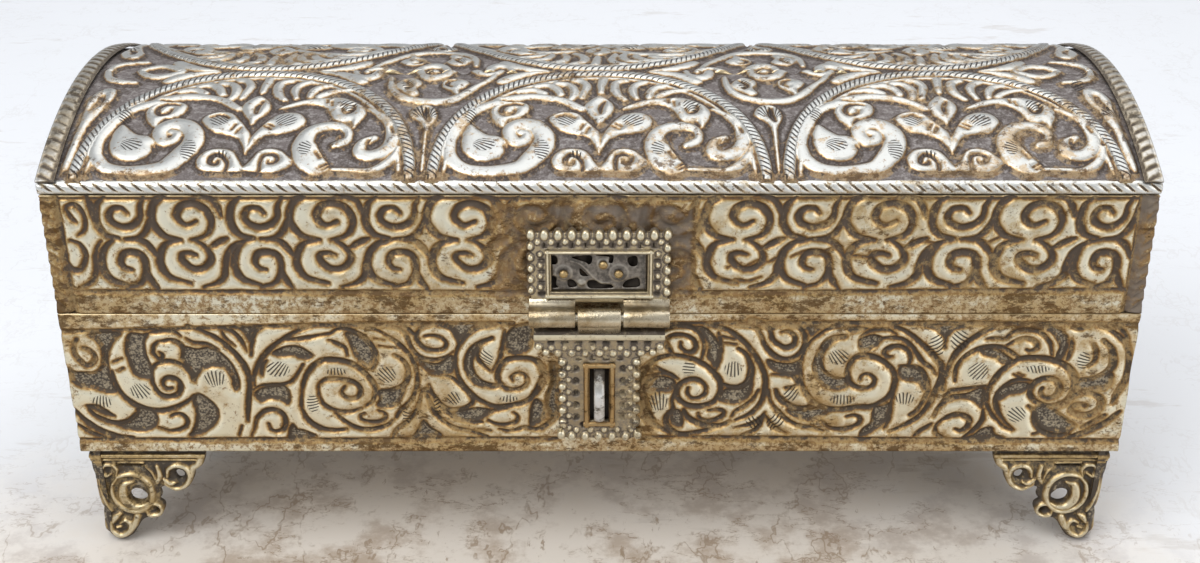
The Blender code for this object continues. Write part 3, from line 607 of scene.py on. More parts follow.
class ChasedSheet:
    """A flat grid of points with the distance of each to the chased edges."""

    REACH = 2.4
    SINK_RUN = 0.38
    ROPE_STEEPNESS = 1.9
    ROPE_LINES = 0.82
    ROPE_CUT = 0.22

    def __init__(self, low: tuple, high: tuple, pitch: float, ground: bool) -> None:
        """Lays out the grid.

        Args:
            low: Lowest u and v.
            high: Highest u and v.
            pitch: Spacing of the points.
            ground: Whether the untouched sheet is sunk ground, and not raised metal.
        """
        self.columns = int(round((high[0] - low[0]) / pitch))
        self.rows = int(round((high[1] - low[1]) / pitch))
        self.u = np.linspace(low[0], high[0], self.columns + 1)
        self.v = np.linspace(low[1], high[1], self.rows + 1)
        shape = (self.rows + 1, self.columns + 1)
        start = -self.REACH if ground else self.REACH
        self.depth = np.full(shape, start)
        self.phase = np.zeros(shape)
        self.mask = np.zeros(shape)
        self.lift = np.zeros(shape)
        self.grime = np.zeros(shape)
        self.outline = np.full(shape, self.REACH)

    def window(self, low: np.ndarray, high: np.ndarray) -> tuple:
        """The part of the grid between two corners.

        Args:
            low: Lowest u and v.
            high: Highest u and v.

        Returns:
            The slices, and the u and v of the points.
        """
        first_u, last_u = np.searchsorted(self.u, (low[0], high[0]))
        first_v, last_v = np.searchsorted(self.v, (low[1], high[1]))
        rows, columns = slice(first_v, last_v), slice(first_u, last_u)
        across, up = np.meshgrid(self.u[columns], self.v[rows])
        return (rows, columns), across, up

    def layers(self) -> dict:
        """The point values that the finishes read."""
        return {"chase_depth": self.depth, "line_phase": self.phase, "line_mask": self.mask, "grime": self.grime}

    def distance(self, stroke: Stroke) -> tuple:
        """Distance outside a stroke's edge, below zero inside it.

        Args:
            stroke: The line or pocket.

        Returns:
            The part of the grid near the stroke, which can be empty, and the distances there.
        """
        closed = not stroke.widths
        path = smooth_path(stroke.path(), closed)
        if closed:
            path = np.vstack([path, path[:1]])
        widest = max(stroke.widths, default=0.0) + self.REACH
        part, across, up = self.window(path.min(0) - widest, path.max(0) + widest)
        best = np.full(across.shape, np.inf)
        inside = np.zeros(across.shape, bool)
        places = np.linspace(0, 1, len(path))
        widths = np.interp(places, np.linspace(0, 1, max(len(stroke.widths), 2)), stroke.widths or (0.0, 0.0))
        for (ax, ay), (bx, by), wa, wb in zip(path[:-1], path[1:], widths[:-1], widths[1:]):
            run_x, run_y = bx - ax, by - ay
            square = run_x * run_x + run_y * run_y
            if square < 1e-12:
                continue
            share = np.clip(((across - ax) * run_x + (up - ay) * run_y) / square, 0, 1)
            reach = np.hypot(across - ax - share * run_x, up - ay - share * run_y)
            np.minimum(best, reach - (wa + share * (wb - wa)), out=best)
            if closed and ay != by:
                crosses = (ay > up) != (by > up)
                inside ^= crosses & (across < (bx - ax) * (up - ay) / (by - ay) + ax)
        return part, np.where(inside, -best, best) if closed else best

    def work(self, strokes: Iterable[Stroke]) -> None:
        """Works strokes into the sheet, raised ones first.

        Args:
            strokes: The lines and pockets.
        """
        for stroke in sorted(strokes, key=lambda stroke: stroke.mark is Mark.CUT):
            part, away = self.distance(stroke)
            if stroke.mark is Mark.CUT:
                self.depth[part] = np.minimum(self.depth[part], away)
            else:
                self.depth[part] = np.maximum(self.depth[part], -away)

    def trim(self, metal: Iterable[Stroke], holes: Iterable[Stroke] = ()) -> None:
        """Cuts the sheet to an outline and pierces it.

        Args:
            metal: Shapes that stay.
            holes: Shapes that are sawn out.
        """
        self.outline[:] = -self.REACH
        for shape in metal:
            part, away = self.distance(shape)
            self.outline[part] = np.maximum(self.outline[part], -away)
        for shape in holes:
            part, away = self.distance(shape)
            self.outline[part] = np.minimum(self.outline[part], away)

    def beads(self, places: Iterable[tuple], size: tuple, rise: float) -> None:
        """Raises beads of one size.

        Args:
            places: Their centres.
            size: Half their width and half their height.
            rise: How far they stand up.
        """
        for place in places:
            self.bead(place, size, rise)

    def bead_row(self, start: float, end: float, count: int, level: float, size: tuple, rise: float) -> None:
        """Raises a level row of beads, a little uneven as by hand.

        Args:
            start: Place of the first bead.
            end: Place of the last bead.
            count: How many.
            level: Their height.
            size: Half their width and half their height.
            rise: How far they stand up.
        """
        for index, place in enumerate(np.linspace(start, end, count)):
            wobble = 0.08 * math.sin(index * 2.4 + level)
            self.bead((place + wobble, level + 0.6 * wobble), (size[0] * (1 + wobble), size[1]), rise)

    def bead(self, place: tuple, size: tuple, rise: float) -> None:
        """Raises a round or drop-shaped bead, with a dark ring round its foot.

        Args:
            place: Its centre.
            size: Half its width and half its height.
            rise: How far it stands up.
        """
        reach = np.array(size) + 0.7
        part, across, up = self.window(np.array(place) - reach, np.array(place) + reach)
        away = np.hypot((across - place[0]) / size[0], (up - place[1]) / size[1])
        dome = rise * np.sqrt(np.clip(1 - away**2, 0, 1))
        self.lift[part] = np.maximum(self.lift[part], dome)
        inside = (1 - away) * min(size)
        near = np.where(inside > 0, inside * 2.6 + 0.1, inside)
        self.depth[part] = np.where(inside > -0.35, near, self.depth[part])

    def pits(self, places: Iterable[tuple], radius: float = 0.95, sink: float = 0.7) -> None:
        """Punches round pits, coloured dark as painted shade.

        Args:
            places: Their centres.
            radius: Their radius.
            sink: How deep they are.
        """
        reach = radius + 0.4
        for place in places:
            part, across, up = self.window(np.array(place) - reach, np.array(place) + reach)
            away = np.hypot(across - place[0], up - place[1]) - radius
            # The low depth colours each pit dark: painted shade.
            self.depth[part] = np.minimum(self.depth[part], away)
            self.lift[part] -= sink * np.clip(-away / 0.25, 0, 1)

    def soil_and_shade(self, low: tuple, high: tuple, blur: float, amount: float) -> None:
        """Darkens a rectangle with soft edges, for stains and for painted shade alike.

        Args:
            low: Lowest u and v.
            high: Highest u and v.
            blur: How far it fades beyond the edges.
            amount: How dark it makes the place.
        """
        across, up = np.meshgrid(self.u, self.v)
        out_u = np.maximum(np.maximum(low[0] - across, across - high[0]), 0)
        out_v = np.maximum(np.maximum(low[1] - up, up - high[1]), 0)
        fade = np.exp(-((np.hypot(out_u, out_v) / blur) ** 2))
        self.grime = np.maximum(self.grime, amount * fade)

    def hatch(self, patches: Iterable[Hatching]) -> None:
        """Adds patches of fine lines.

        Args:
            patches: The patches.
        """
        for patch in patches:
            centre, reach = np.array(patch.centre), np.array(patch.reach)
            part, across, up = self.window(centre - reach, centre + reach)
            away = np.hypot((across - centre[0]) / reach[0], (up - centre[1]) / reach[1])
            shown = np.clip((1 - away) * 6, 0, 1)
            turn = np.arctan2(up - patch.fan[1], across - patch.fan[0])
            radius = math.hypot(centre[0] - patch.fan[0], centre[1] - patch.fan[1])
            middle = math.atan2(centre[1] - patch.fan[1], centre[0] - patch.fan[0])
            turn = np.mod(turn - middle + math.pi, 2 * math.pi) - math.pi
            stronger = shown > self.mask[part]
            self.phase[part] = np.where(stronger, turn * radius / patch.pitch, self.phase[part])
            self.mask[part] = np.maximum(self.mask[part], shown)

    def twist(self, path: np.ndarray, width: float, pitch: float, slant: float, rise: float) -> None:
        """Adds a raised rope with slanting grooves.

        Args:
            path: Places along it, as pairs.
            width: Half-width.
            pitch: Distance between grooves.
            slant: How far a groove runs along the rope for each unit across it.
            rise: How far it stands up.
        """
        lengths = np.concatenate([[0], np.cumsum(np.hypot(*np.diff(path, axis=0).T))])
        margin = width + self.REACH
        for start, a, b in zip(lengths, path[:-1], path[1:]):
            run = b - a
            length = float(np.hypot(*run))
            part, across, up = self.window(np.minimum(a, b) - margin, np.maximum(a, b) + margin)
            share = np.clip(((across - a[0]) * run[0] + (up - a[1]) * run[1]) / length**2, 0, 1)
            side = ((across - a[0]) * run[1] - (up - a[1]) * run[0]) / length
            away = np.hypot(across - a[0] - share * run[0], up - a[1] - share * run[1]) - width
            inner = np.where(away < 0, -self.ROPE_STEEPNESS * away, -away)
            nearer = inner > self.depth[part]
            self.depth[part] = np.where(nearer, inner, self.depth[part])
            phase = (start + share * length + slant * side) / pitch
            across_share = np.clip(1 + away / width, 0, 1)
            self.phase[part] = np.where(nearer, phase, self.phase[part])
            self.mask[part] = np.where(nearer, self.ROPE_LINES * (1 - across_share**3), self.mask[part])
            hump = rise * np.sqrt(1 - across_share**2)
            wave = np.abs(phase - np.floor(phase) - 0.5) * pitch
            cutting = 1 - self.ROPE_CUT * np.exp(-((wave / self.ROPE_CUT) ** 2))
            self.lift[part] = np.where(nearer & (away < 0), hump * cutting, self.lift[part])

    def height(self, swell: float, sink: float, round_over: float) -> np.ndarray:
        """Height of each point above the chased edges.

        Args:
            swell: How far the metal rises.
            sink: How far the ground lies below.
            round_over: How far from an edge the metal takes to rise.

        Returns:
            The heights, in millimetres.
        """
        raised = swell * (1 - np.exp(-np.maximum(self.depth, 0) / round_over))
        sunk = sink * (1 - np.exp(np.minimum(self.depth, 0) / self.SINK_RUN))
        return raised - sunk + self.lift


Bend = Callable[[np.ndarray, np.ndarray, np.ndarray], np.ndarray]
Finish = bpy.types.Material


def linked_object(name: str, bm: bmesh.types.BMesh, finishes: Sequence[Finish]) -> bpy.types.Object:
    """Turns a bmesh into an object in the scene, with its faces turned outwards.

    Args:
        name: Name of the object.
        bm: Its faces, which are freed.
        finishes: Its finishes.

    Returns:
        The object.
    """
    bmesh.ops.recalc_face_normals(bm, faces=bm.faces)
    if bm.calc_volume(signed=True) < 0:
        bmesh.ops.reverse_faces(bm, faces=bm.faces)
    mesh = bpy.data.meshes.new(name)
    bm.to_mesh(mesh)
    bm.free()
    for finish in finishes:
        mesh.materials.append(finish)
    made = bpy.data.objects.new(name, mesh)
    bpy.context.scene.collection.objects.link(made)
    return made


def stand_for(piece: bpy.types.Object, body: str, node: str) -> None:
    """Puts a piece on its body, in the place of a node.

    Args:
        piece: The piece.
        body: Body that it rides on.
        node: CAD node that it stands for.
    """
    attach(piece, body)
    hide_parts(node)
    LOG.info("%s: %d faces", piece.name, len(piece.data.polygons))


def chased_object(
    name: str,
    bm: bmesh.types.BMesh,
    chased: ChasedSheet,
    row: np.ndarray,
    column: np.ndarray,
    finishes: Sequence[Finish],
) -> bpy.types.Object:
    """Turns a bmesh into an object that carries the sheet's point values.

    Args:
        name: Name of the piece.
        bm: Its faces, which are freed.
        chased: The grid.
        row: Row in the grid of each point, for the first points at least.
        column: Column in the grid of the same points.
        finishes: Finish of the face, then of the back.

    Returns:
        The piece.
    """
    piece = linked_object(name, bm, finishes)
    for label, grid in chased.layers().items():
        values = np.zeros(len(piece.data.vertices), np.float32)
        values[: len(row)] = grid[row, column]
        piece.data.attributes.new(label, "FLOAT", "POINT").data.foreach_set("value", values)
    return piece


def grid_mesh(chased: ChasedSheet) -> tuple:
    """A flat grid of faces for a sheet.

    Args:
        chased: The grid.

    Returns:
        The bmesh, and the row and the column of each of its points.
    """
    bm = bmesh.new()
    bmesh.ops.create_grid(bm, x_segments=chased.columns, y_segments=chased.rows, size=0.5)
    flat = np.array([vert.co for vert in bm.verts])
    row = np.rint((flat[:, 1] + 0.5) * chased.rows).astype(int)
    column = np.rint((flat[:, 0] + 0.5) * chased.columns).astype(int)
    return bm, row, column


def sheet_piece(
    name: str,
    chased: ChasedSheet,
    height: np.ndarray,
    thickness: float,
    bend: Bend,
    finishes: Sequence[Finish],
    rows_back: bool,
) -> bpy.types.Object:
    """Makes a closed sheet of metal from a chased grid.

    Args:
        name: Name of the piece.
        chased: The grid and its point values.
        height: Height of each point, in millimetres.
        thickness: Depth of the sheet's back below zero height, in millimetres.
        bend: Takes u, v and height and gives places in metres.
        finishes: Finish of the face, then of the back.
        rows_back: Whether the back is curved, so that it needs a face for each row.

    Returns:
        The piece.
    """
    bm, row, column = grid_mesh(chased)
    u, v = chased.u[column], chased.v[row]
    places = bend(u, v, height[row, column])
    backs = bend(u, v, np.full(len(u), -thickness))
    front = list(bm.verts)
    front_faces = len(bm.faces)
    for face in bm.faces:
        face.smooth = True
    rim = [edge for edge in bm.edges if edge.is_boundary]
    order = {vert: index for index, vert in enumerate(front)}
    grown = bmesh.ops.extrude_edge_only(bm, edges=rim)["geom"]
    for vert, place in zip(front, places):
        vert.co = place
    sides: dict = {}
    for vert in (item for item in grown if isinstance(item, bmesh.types.BMVert)):
        partner = next(order[other] for other in (edge.other_vert(vert) for edge in vert.link_edges) if other in order)
        vert.co = backs[partner]
        sides.setdefault(row[partner], []).append((column[partner], vert))
    if rows_back:
        chains = [[vert for _, vert in sorted(sides[level], key=lambda pair: pair[0])] for level in sorted(sides)]
        for under, over in zip(chains[:-1], chains[1:]):
            bm.faces.new(under + over[::-1])
    else:
        bmesh.ops.contextual_create(bm, geom=[item for item in grown if isinstance(item, bmesh.types.BMEdge)])
    bm.faces.ensure_lookup_table()
    for face in bm.faces[front_faces:]:
        face.material_index = len(finishes) - 1
    return chased_object(name, bm, chased, row, column, finishes)


def pierced_piece(
    name: str, chased: ChasedSheet, height: np.ndarray, thickness: float, bend: Bend, finish: Finish
) -> bpy.types.Object:
    """Makes a plate that is sawn to its outline and pierced.

    Args:
        name: Name of the piece.
        chased: The grid, with its outline.
        height: Height of each point, in millimetres.
        thickness: Depth of the plate's back below zero height, in millimetres.
        bend: Takes u, v and height and gives places in metres.
        finish: Its finish.

    Returns:
        The piece.
    """
    bm, rows, columns = grid_mesh(chased)
    row_layer, column_layer = bm.verts.layers.int.new("row"), bm.verts.layers.int.new("column")
    for vert, row, column in zip(bm.verts, rows, columns):
        vert[row_layer], vert[column_layer] = int(row), int(column)
    outline = chased.outline
    waste = [face for face in bm.faces if sum(outline[v[row_layer], v[column_layer]] for v in face.verts) <= 0]
    bmesh.ops.delete(bm, geom=waste, context="FACES")
    pinched = [vert for vert in bm.verts if len(vert.link_faces) == 2 and len(vert.link_edges) == 4]
    bmesh.ops.delete(bm, geom=pinched, context="VERTS")
    slope_v, slope_u = np.gradient(outline, chased.v, chased.u)
    rim = np.array([vert.is_boundary for vert in bm.verts])
    row = np.array([vert[row_layer] for vert in bm.verts])
    column = np.array([vert[column_layer] for vert in bm.verts])
    steep = slope_u[row, column] ** 2 + slope_v[row, column] ** 2 + 0.05
    pitch = chased.u[1] - chased.u[0]
    nudge = np.where(rim, np.clip(outline[row, column] / steep, -pitch, pitch), 0.0)
    u = chased.u[column] - nudge * slope_u[row, column]
    v = chased.v[row] - nudge * slope_v[row, column]
    fronts = bend(u, v, height[row, column])
    backs = bend(u, v, np.full(len(u), -thickness))
    places = {(a, b): pair for a, b, *pair in zip(row, column, fronts, backs)}
    grown = set(bmesh.ops.extrude_face_region(bm, geom=list(bm.faces))["geom"])
    for vert in bm.verts:
        front, back = places[(vert[row_layer], vert[column_layer])]
        vert.co = front if vert in grown else back
    for face in bm.faces:
        face.smooth = face in grown
    row = np.array([vert[row_layer] for vert in bm.verts])
    column = np.array([vert[column_layer] for vert in bm.verts])
    return chased_object(name, bm, chased, row, column, (finish,))


def rounded_box(x0: float, y0: float, x1: float, y1: float, radius: float) -> Stroke:
    """A box whose smooth outline stays nearly square.

    Args:
        x0: Left.
        y0: Bottom.
        x1: Right.
        y1: Top.
        radius: How far from a corner its rounding starts.

    Returns:
        The outline.
    """
    r, s = radius, 0.3 * radius
    x, y = (x0 + x1) / 2, (y0 + y1) / 2
    return leaf(x0, y0 + r, x0 + s, y0 + s, x0 + r, y0, x, y0, x1 - r, y0, x1 - s, y0 + s, x1, y0 + r, x1, y,
                x1, y1 - r, x1 - s, y1 - s, x1 - r, y1, x, y1, x0 + r, y1, x0 + s, y1 - s, x0, y1 - r, x0, y)


# The ornament, as chased lines, pockets, leaves and stems


BASE_STROKES = (
    cut(0.4, -121.6, 59, -122.75, 57, -122.6, 54.5, -121, 52.25, -119.75, 51.75, -118.25, 53.25, -118.25, 54.75,
        -119.25, 56, -120.5, 56.5),
    cut(0.6, -114.75, 50, -114.25, 46.5, -113, 43.5, -110.5, 41, -107.5, 39.5, -104, 39.2, -100.5, 40.2,
        -97.5, 42, -96, 43.5),
    cut(0.5, -104.5, 60.5, -101.5, 61, -99, 60.8, -97.5, 59.6),
    cut(0.45, -102.75, 58.25, -104, 57, -104.4, 55.25, -103.5, 53.5, -102.75, 53.25, -102.25, 54.5, -103, 55.25),
    cut(0.5, -102.25, 58.25, -99.5, 58.5, -97.6, 57.2, -97.3, 55, -98, 53.5),
    cut(0.5, -105.3, 50, -104.3, 51.8, -101.5, 52.8, -98.7, 52.2, -96.5, 50, -95.8, 47.5),
    cut(0.55, -105.2, 50, -105.5, 47.5, -105, 45.5, -104, 43.75, -102, 43.1, -100, 43.75, -99, 45.5, -99.25, 47.25,
        -100.5, 48.25, -102, 48.25, -103, 47.25, -103, 46, -102, 45.25, -101, 45.5),
    cut(0.6, -95.5, 62.3, -92, 60.8, -88.5, 58.5, -85, 54.5, -83, 50.5, -82.6, 46.5, -83.3, 42, -83.8, 38.5, -84, 36.2),
    cut(0.4, -96.3, 59, -94.5, 57.8, -91.5, 57.4, -89, 56),
    cut(0.45, -102.25, 37.75, -101, 38.25, -99.5, 38, -98.5, 36.5, -99, 34.75, -101, 33.75, -103, 33.5, -105.5, 34.5),
    cut(0.6, -122, 40.5, -120.5, 38, -117.5, 36.2, -115, 35.7, -112.5, 36.4, -110.5, 38.5),
    cut(0.7, -122, 40.5, -119.5, 40, -117.5, 38.5, -115.8, 37.6),
    cut(0.7, -125, 39.5, -123, 36.5, -119.5, 33.5, -115.5, 31.8, -112, 31.6),
    cut(0.5, -125, 35.5, -122, 33, -118.5, 31.5),
    cut(0.45, -88, 62, -85.5, 61, -83.5, 58.5, -82.5, 55.5),
    cut(0.25, -87.8, 61, -87, 59, -85, 57),
    cut(0.45, -77.5, 62.2, -80, 60.8, -81, 58, -81.5, 54.5),
    cut(0.55, -66.8, 62.3, -70, 61, -74, 58.5, -77.5, 55.5, -80, 52, -81.5, 48.5, -81.5, 46),
    cut(0.35, -75, 58.5, -71, 58.8, -67.5, 59.3, -62, 60.5),
    cut(0.6, -79.5, 49, -79.2, 51.5, -78, 53),
    cut(0.4, -82, 45, -80, 46, -77, 46.3, -74, 46.6, -72, 48, -69.5, 52),
    cut(0.5, -83.5, 32, -82.5, 34.5, -81.75, 37, -79.75, 39, -77.5, 39.5, -75.5, 38.25, -75, 36, -75.75, 34,
        -77.5, 33.25, -78.75, 34, -79.1, 35.5),
    cut(0.3, -114, 52.7, -111.8, 53.6), cut(0.3, -113, 50.3, -111.8, 51), cut(0.3, -85.5, 35, -86.5, 32),
    cut(0.6, -71, 39.5, -70.5, 44, -69.5, 48, -67.5, 51.2, -65, 53, -63, 53.25, -59.5, 52.75, -56.5, 51, -53.75, 47.5,
        -53, 45, -53.75, 42, -55.5, 40.5),
    cut(0.55, -71, 40, -69.5, 36.5, -66.5, 34.2, -63.5, 33.6, -60.5, 34),
    cut(0.5, -66.5, 43.5, -66.4, 46, -65, 47.6, -63, 48, -60, 47.75, -57.5, 46.75, -56.5, 45, -57, 43.25, -58.75, 42.5,
        -60.5, 43.25, -61, 44.5, -60, 46),
    cut(0.4, -66.5, 43.5, -65.5, 41, -63, 39.3, -59.5, 38.9, -56.5, 39.9),
    cut(0.45, -63, 58.5, -61.5, 57.75, -59.5, 56.5, -59, 54.5),
    cut(0.45, -63, 60, -60.5, 61.5, -58, 61.25, -55, 59.5, -53, 57, -52.25, 54.5, -52.75, 52, -53.5, 50.5),
    cut(0.5, -55, 62.5, -51.5, 61, -48, 58.5, -45.5, 56, -43.75, 53, -43, 50, -43, 46.5, -44.5, 42.5, -46.5, 40.5),
    cut(0.6, -48, 54.5, -46.5, 53.5, -45.25, 51.5, -45, 49, -46, 46.5, -48.5, 45, -51.5, 44.75),
    cut(0.3, -52.5, 59, -50, 58.5), cut(0.3, -51.5, 57, -48.5, 56.5),
    cut(0.4, -52.75, 39.25, -51.25, 38.5, -51, 37.25, -52.25, 36.25, -54.5, 36, -56.5, 36.5, -57, 37.75, -56, 38.5),
    cut(0.5, -63, 38.5, -60, 35.5, -57, 34, -54, 34, -51, 35, -49.25, 36.5),
    cut(0.4, -48.5, 37, -47.5, 39, -45.5, 41),
    cut(0.4, -42, 45, -42.5, 42.5, -43.5, 39.5, -45.5, 36.5, -48.5, 34, -49.5, 32),
    cut(0.45, -41.5, 45, -40.5, 42.5, -39.5, 39.5, -38, 37, -35, 34.5, -31, 33.5, -27, 32),
    cut(0.5, -41, 45.5, -39, 43, -37, 39.5, -34, 37, -30.5, 36, -28, 36),
    cut(0.45, -40.75, 59.5, -39, 59.75, -37, 59.25, -35.75, 57.75, -36.25, 56.25, -38.5, 55.75, -41, 56.5, -42.5, 58.5,
        -42.25, 60.5, -41, 62, -39, 62.75),
    cut(0.35, -47, 63, -45, 62, -43, 60, -42, 59),
    cut(0.4, -50, 62.75, -47, 61.75, -45, 60, -44.25, 57.5, -43, 55, -41, 53.5, -38, 53.25, -35.5, 54.25, -34, 55.5),
    cut(0.45, -38, 63, -35, 62, -33.5, 60, -32.75, 57.5),
    cut(0.55, -24.5, 62.5, -28, 61.75, -31, 59.5, -33, 56.5, -33.75, 53.5, -33.5, 49.5, -32.25, 46.5, -30, 43.5,
        -27.5, 41.5, -24.5, 40.25, -20.5, 40.75, -17, 42, -15, 44.5, -14, 46.5, -13, 49, -13.75, 51.5, -15.5, 53.25,
        -19, 53.75, -22, 53, -23.5, 51, -24, 48.5, -23, 46, -20.5, 45, -18, 45.75, -17, 47.5, -17.75, 49.25,
        -19.5, 49.5, -20.75, 48.5, -20.5, 47.5),
    cut(1.0, -25, 59, -28, 57.5, -30, 55, -30.75, 51.5, -29.75, 48.5, -28, 46.75, -25, 46, -23, 46.5),
    cut(0.4, -28, 57, -28.5, 54, -27.5, 52, -25.5, 50),
    cut(0.4, -22, 61, -22.5, 57.5, -23, 55, -23.5, 53, -25, 50.5),
    cut(0.4, -40.5, 50, -38, 49, -35, 48.5, -33, 46.5, -31, 44, -30, 42, -31, 40.5, -33.5, 39.5, -36, 39.75, -38, 41.5,
        -39.5, 44, -40.25, 46.5),
    cut(0.4, -20.5, 38.75, -19.5, 37.5, -20, 36, -22.5, 35.25, -25, 35.5, -26.5, 36.5),
    cut(0.4, -27, 37.75, -25, 39.25, -22, 39.75),
    cut(0.35, -24, 34, -21, 33.5, -18, 34.5, -15, 34, -12.5, 35.5, -10, 38), cut(0.35, -29, 34, -26, 33.5),
    cut(0.6, 9.25, 45, 9.5, 48, 10.75, 51, 13, 53.25, 16, 54.35, 19, 54.25, 22, 53.4, 24.5, 52, 26.75, 50, 28.25, 47.75,
        28.75, 45.5, 28.25, 43.25, 27, 41.5, 24.5, 40.5, 22, 40.5, 20, 41.25, 18.5, 43, 18.25, 45, 19.25, 46.75,
        21.5, 47.9, 23.5, 47.6, 25, 46, 25, 44, 23.5, 42.75, 21.75, 42.75, 20.9, 44, 21, 45.5),
    cut(0.5, 13.25, 51.25, 15, 50, 17, 49, 18.5, 48),
    cut(0.5, 10.25, 45, 10.75, 46.75, 12, 48.25, 14, 49.25, 15.5, 49.5),
    cut(0.5, 9.25, 43.5, 10, 40.5, 10.75, 38, 12, 36.5, 14.5, 34.5, 17.25, 32.5),
    cut(0.5, 10.5, 44, 10.75, 41, 11.5, 38.5, 13, 36.5),
    cut(0.6, 17.75, 44, 17.25, 41.5, 17.5, 39.5, 16, 37.5, 16, 35.5, 17.5, 33.5, 20, 32.5, 24, 33.25, 28, 34.5, 31, 36),
    cut(0.7, 20, 39.5, 21, 37.5, 23, 36, 26, 35, 29, 35, 31.25, 36.25),
    cut(0.5, 23.5, 38.5, 24, 37, 26, 36.25, 28, 36.75, 29.5, 38, 29.5, 39, 28, 39.5, 26, 39.25),
    cut(0.4, 31.5, 37.5, 32.5, 39, 34.5, 40.5, 36.5, 42.5, 37.75, 45),
    cut(0.4, 39.5, 38.75, 38.5, 37, 36.5, 35.5, 33, 34.5), cut(0.4, 39.25, 37.5, 37.5, 34, 34, 32),
    cut(0.4, 39.5, 38, 41, 35.5, 42.5, 34, 45, 32.75),
    cut(0.6, 24.5, 62.75, 28, 62, 31, 60.5, 34, 57.75, 36, 55, 37.75, 52, 39, 49, 39.25, 46, 38.75, 42.5, 37.5, 40,
        35.5, 38, 32.5, 36.5),
    cut(0.75, 32.5, 56.25, 34.5, 54.5, 35.5, 52, 35.75, 49.5, 35, 47, 33.25, 45.75, 31, 45.75, 29.5, 46.5),
    cut(0.5, 15, 61.25, 17.5, 62.25, 20.5, 62.25, 22.5, 61, 24, 59, 24.5, 56.5, 24, 53.5),
    cut(0.5, 15.5, 59, 17.5, 60, 20, 59.75, 22, 58.5, 22.5, 56.5, 21.5, 55.25, 20, 55.5, 19, 56.75, 19, 58),
    cut(0.5, 15.5, 58.25, 16, 56.5, 17.25, 54.75),
    cut(0.4, 27.75, 60.5, 28.5, 56.5, 28, 52.5, 27.5, 50.5),
    cut(0.3, 28.6, 59.6, 31.5, 58.8), cut(0.35, 29.2, 57.8, 32, 57.4),
    cut(0.55, 35, 64, 37.5, 63.25, 39.5, 61.5, 40.25, 59, 41.5, 57.5, 43.5, 56.5, 45.5, 57.5, 45.5, 59.5, 44, 60.75,
        42.25, 60.5),
    cut(0.55, 40.25, 61.5, 41.5, 62.75, 43.5, 63.25, 46, 62.25, 47.75, 60, 48, 57.5, 47, 55, 45, 53.5, 42.5, 53.5,
        40, 55.25, 38.5, 57.5, 37.5, 60, 36, 62, 32, 62.75),
    cut(0.45, 40.75, 49.25, 43.5, 49, 45.5, 48.75, 46.75, 47.25, 46.5, 46, 44, 45.5),
    cut(0.75, 41.75, 45, 42.5, 43, 44.5, 41, 47.5, 39.75, 51, 40.4),
    cut(0.5, 40, 45, 40.75, 41.5, 42.5, 39, 45, 36.5, 47.5, 35, 50.5, 34.5, 53.5, 33.5),
    cut(0.6, 57, 63, 54, 62, 51.5, 60.25, 49.25, 58, 47.75, 55, 47.25, 51.5, 47.5, 48, 48.5, 45, 50.5, 42, 53, 40.25,
        56, 39.5, 59, 39.75, 62, 40.2, 64.5, 40.25, 67, 41.5, 69, 43.5, 69.75, 46.5, 69.5, 49.5, 67.5, 52, 65, 53.75,
        62, 54.5, 59.7, 53.4, 58.5, 50.8, 58.6, 48.3, 59.8, 46.4, 62, 45.4, 63.8, 45.6, 64.9, 46.9, 64.7, 48.3,
        63.3, 49.3, 61.9, 48.9, 61.5, 47.7),
    cut(0.5, 53, 36.5, 55, 34.5, 58, 34, 61, 34.75, 62.25, 36, 62, 37.25, 60.5, 37.9, 59, 37.5),
    cut(0.4, 61, 59.6, 62.5, 60.7, 64.5, 61.25, 67, 61.25, 69.25, 60),
    cut(0.5, 66, 59, 68.5, 59.25, 71, 58.5, 72.75, 57, 74.25, 55, 76, 52.5, 78, 51, 79.25, 49),
    cut(0.5, 68.75, 54, 67.5, 54, 66.75, 54.9, 67, 55.9, 68.5, 56.75, 70.5, 56.75, 72.25, 55.5, 73, 53.5, 72.75, 52),
    cut(0.65, 67, 63, 69.5, 61.75, 72.5, 60, 75, 57.75, 77.25, 55.5, 79.25, 53.25, 80.5, 51, 80.5, 48, 79.5, 44.5,
        78.5, 41.5, 77, 38.5, 75, 36.5, 72, 34.5, 69.5, 33.25),
    cut(0.5, 70.5, 51.5, 73, 51.5, 75, 51, 76.5, 49.5, 77.5, 47, 77.75, 44.5, 77, 42, 75.75, 39.5, 74, 38),
    cut(0.5, 69.6, 44.5, 69.4, 41, 69.3, 38, 69, 36, 68.3, 34.2),
    cut(0.5, 80.75, 59, 80.7, 56.5), cut(1.0, 81, 50, 81.2, 45),
    cut(0.65, 94, 62.75, 91, 61.75, 88, 59.75, 85.5, 57.5, 83.5, 55, 82.25, 52, 81.75, 49),
    cut(0.35, 90, 58.75, 92, 59, 94, 58.75),
    cut(0.55, 84, 47.25, 83.75, 50, 84.5, 52.5, 86.5, 54.75, 89, 56.25, 91.5, 56.75, 94, 56.5, 96, 55.5, 98, 54,
        99.25, 53.4),
    cut(0.5, 95, 57, 97, 58.25, 99, 59, 101, 58.5, 102.25, 57.25, 102, 56, 100.5, 55.5, 99.75, 56),
    cut(0.5, 94.75, 59, 96, 60.5, 98.5, 61.25, 101.5, 61, 103.5, 59.75, 105.25, 57.5, 106, 54.5),
    cut(0.65, 99, 33.5, 97, 34.5, 95, 36.5, 93, 39, 92, 41.5, 92, 44.5, 93, 47.5, 94.5, 50, 96.5, 52, 99, 53.5,
        102, 53.75, 105.5, 53.4, 108.5, 52.25, 111, 50.25, 112.25, 47.5, 112.25, 44.5, 111, 42, 108.5, 40.5, 106, 40.5,
        103.5, 41.75, 102, 44, 102.5, 46.5, 104.5, 48, 107, 48, 108.75, 46.25, 108.5, 44, 107, 42.75, 105.25, 43,
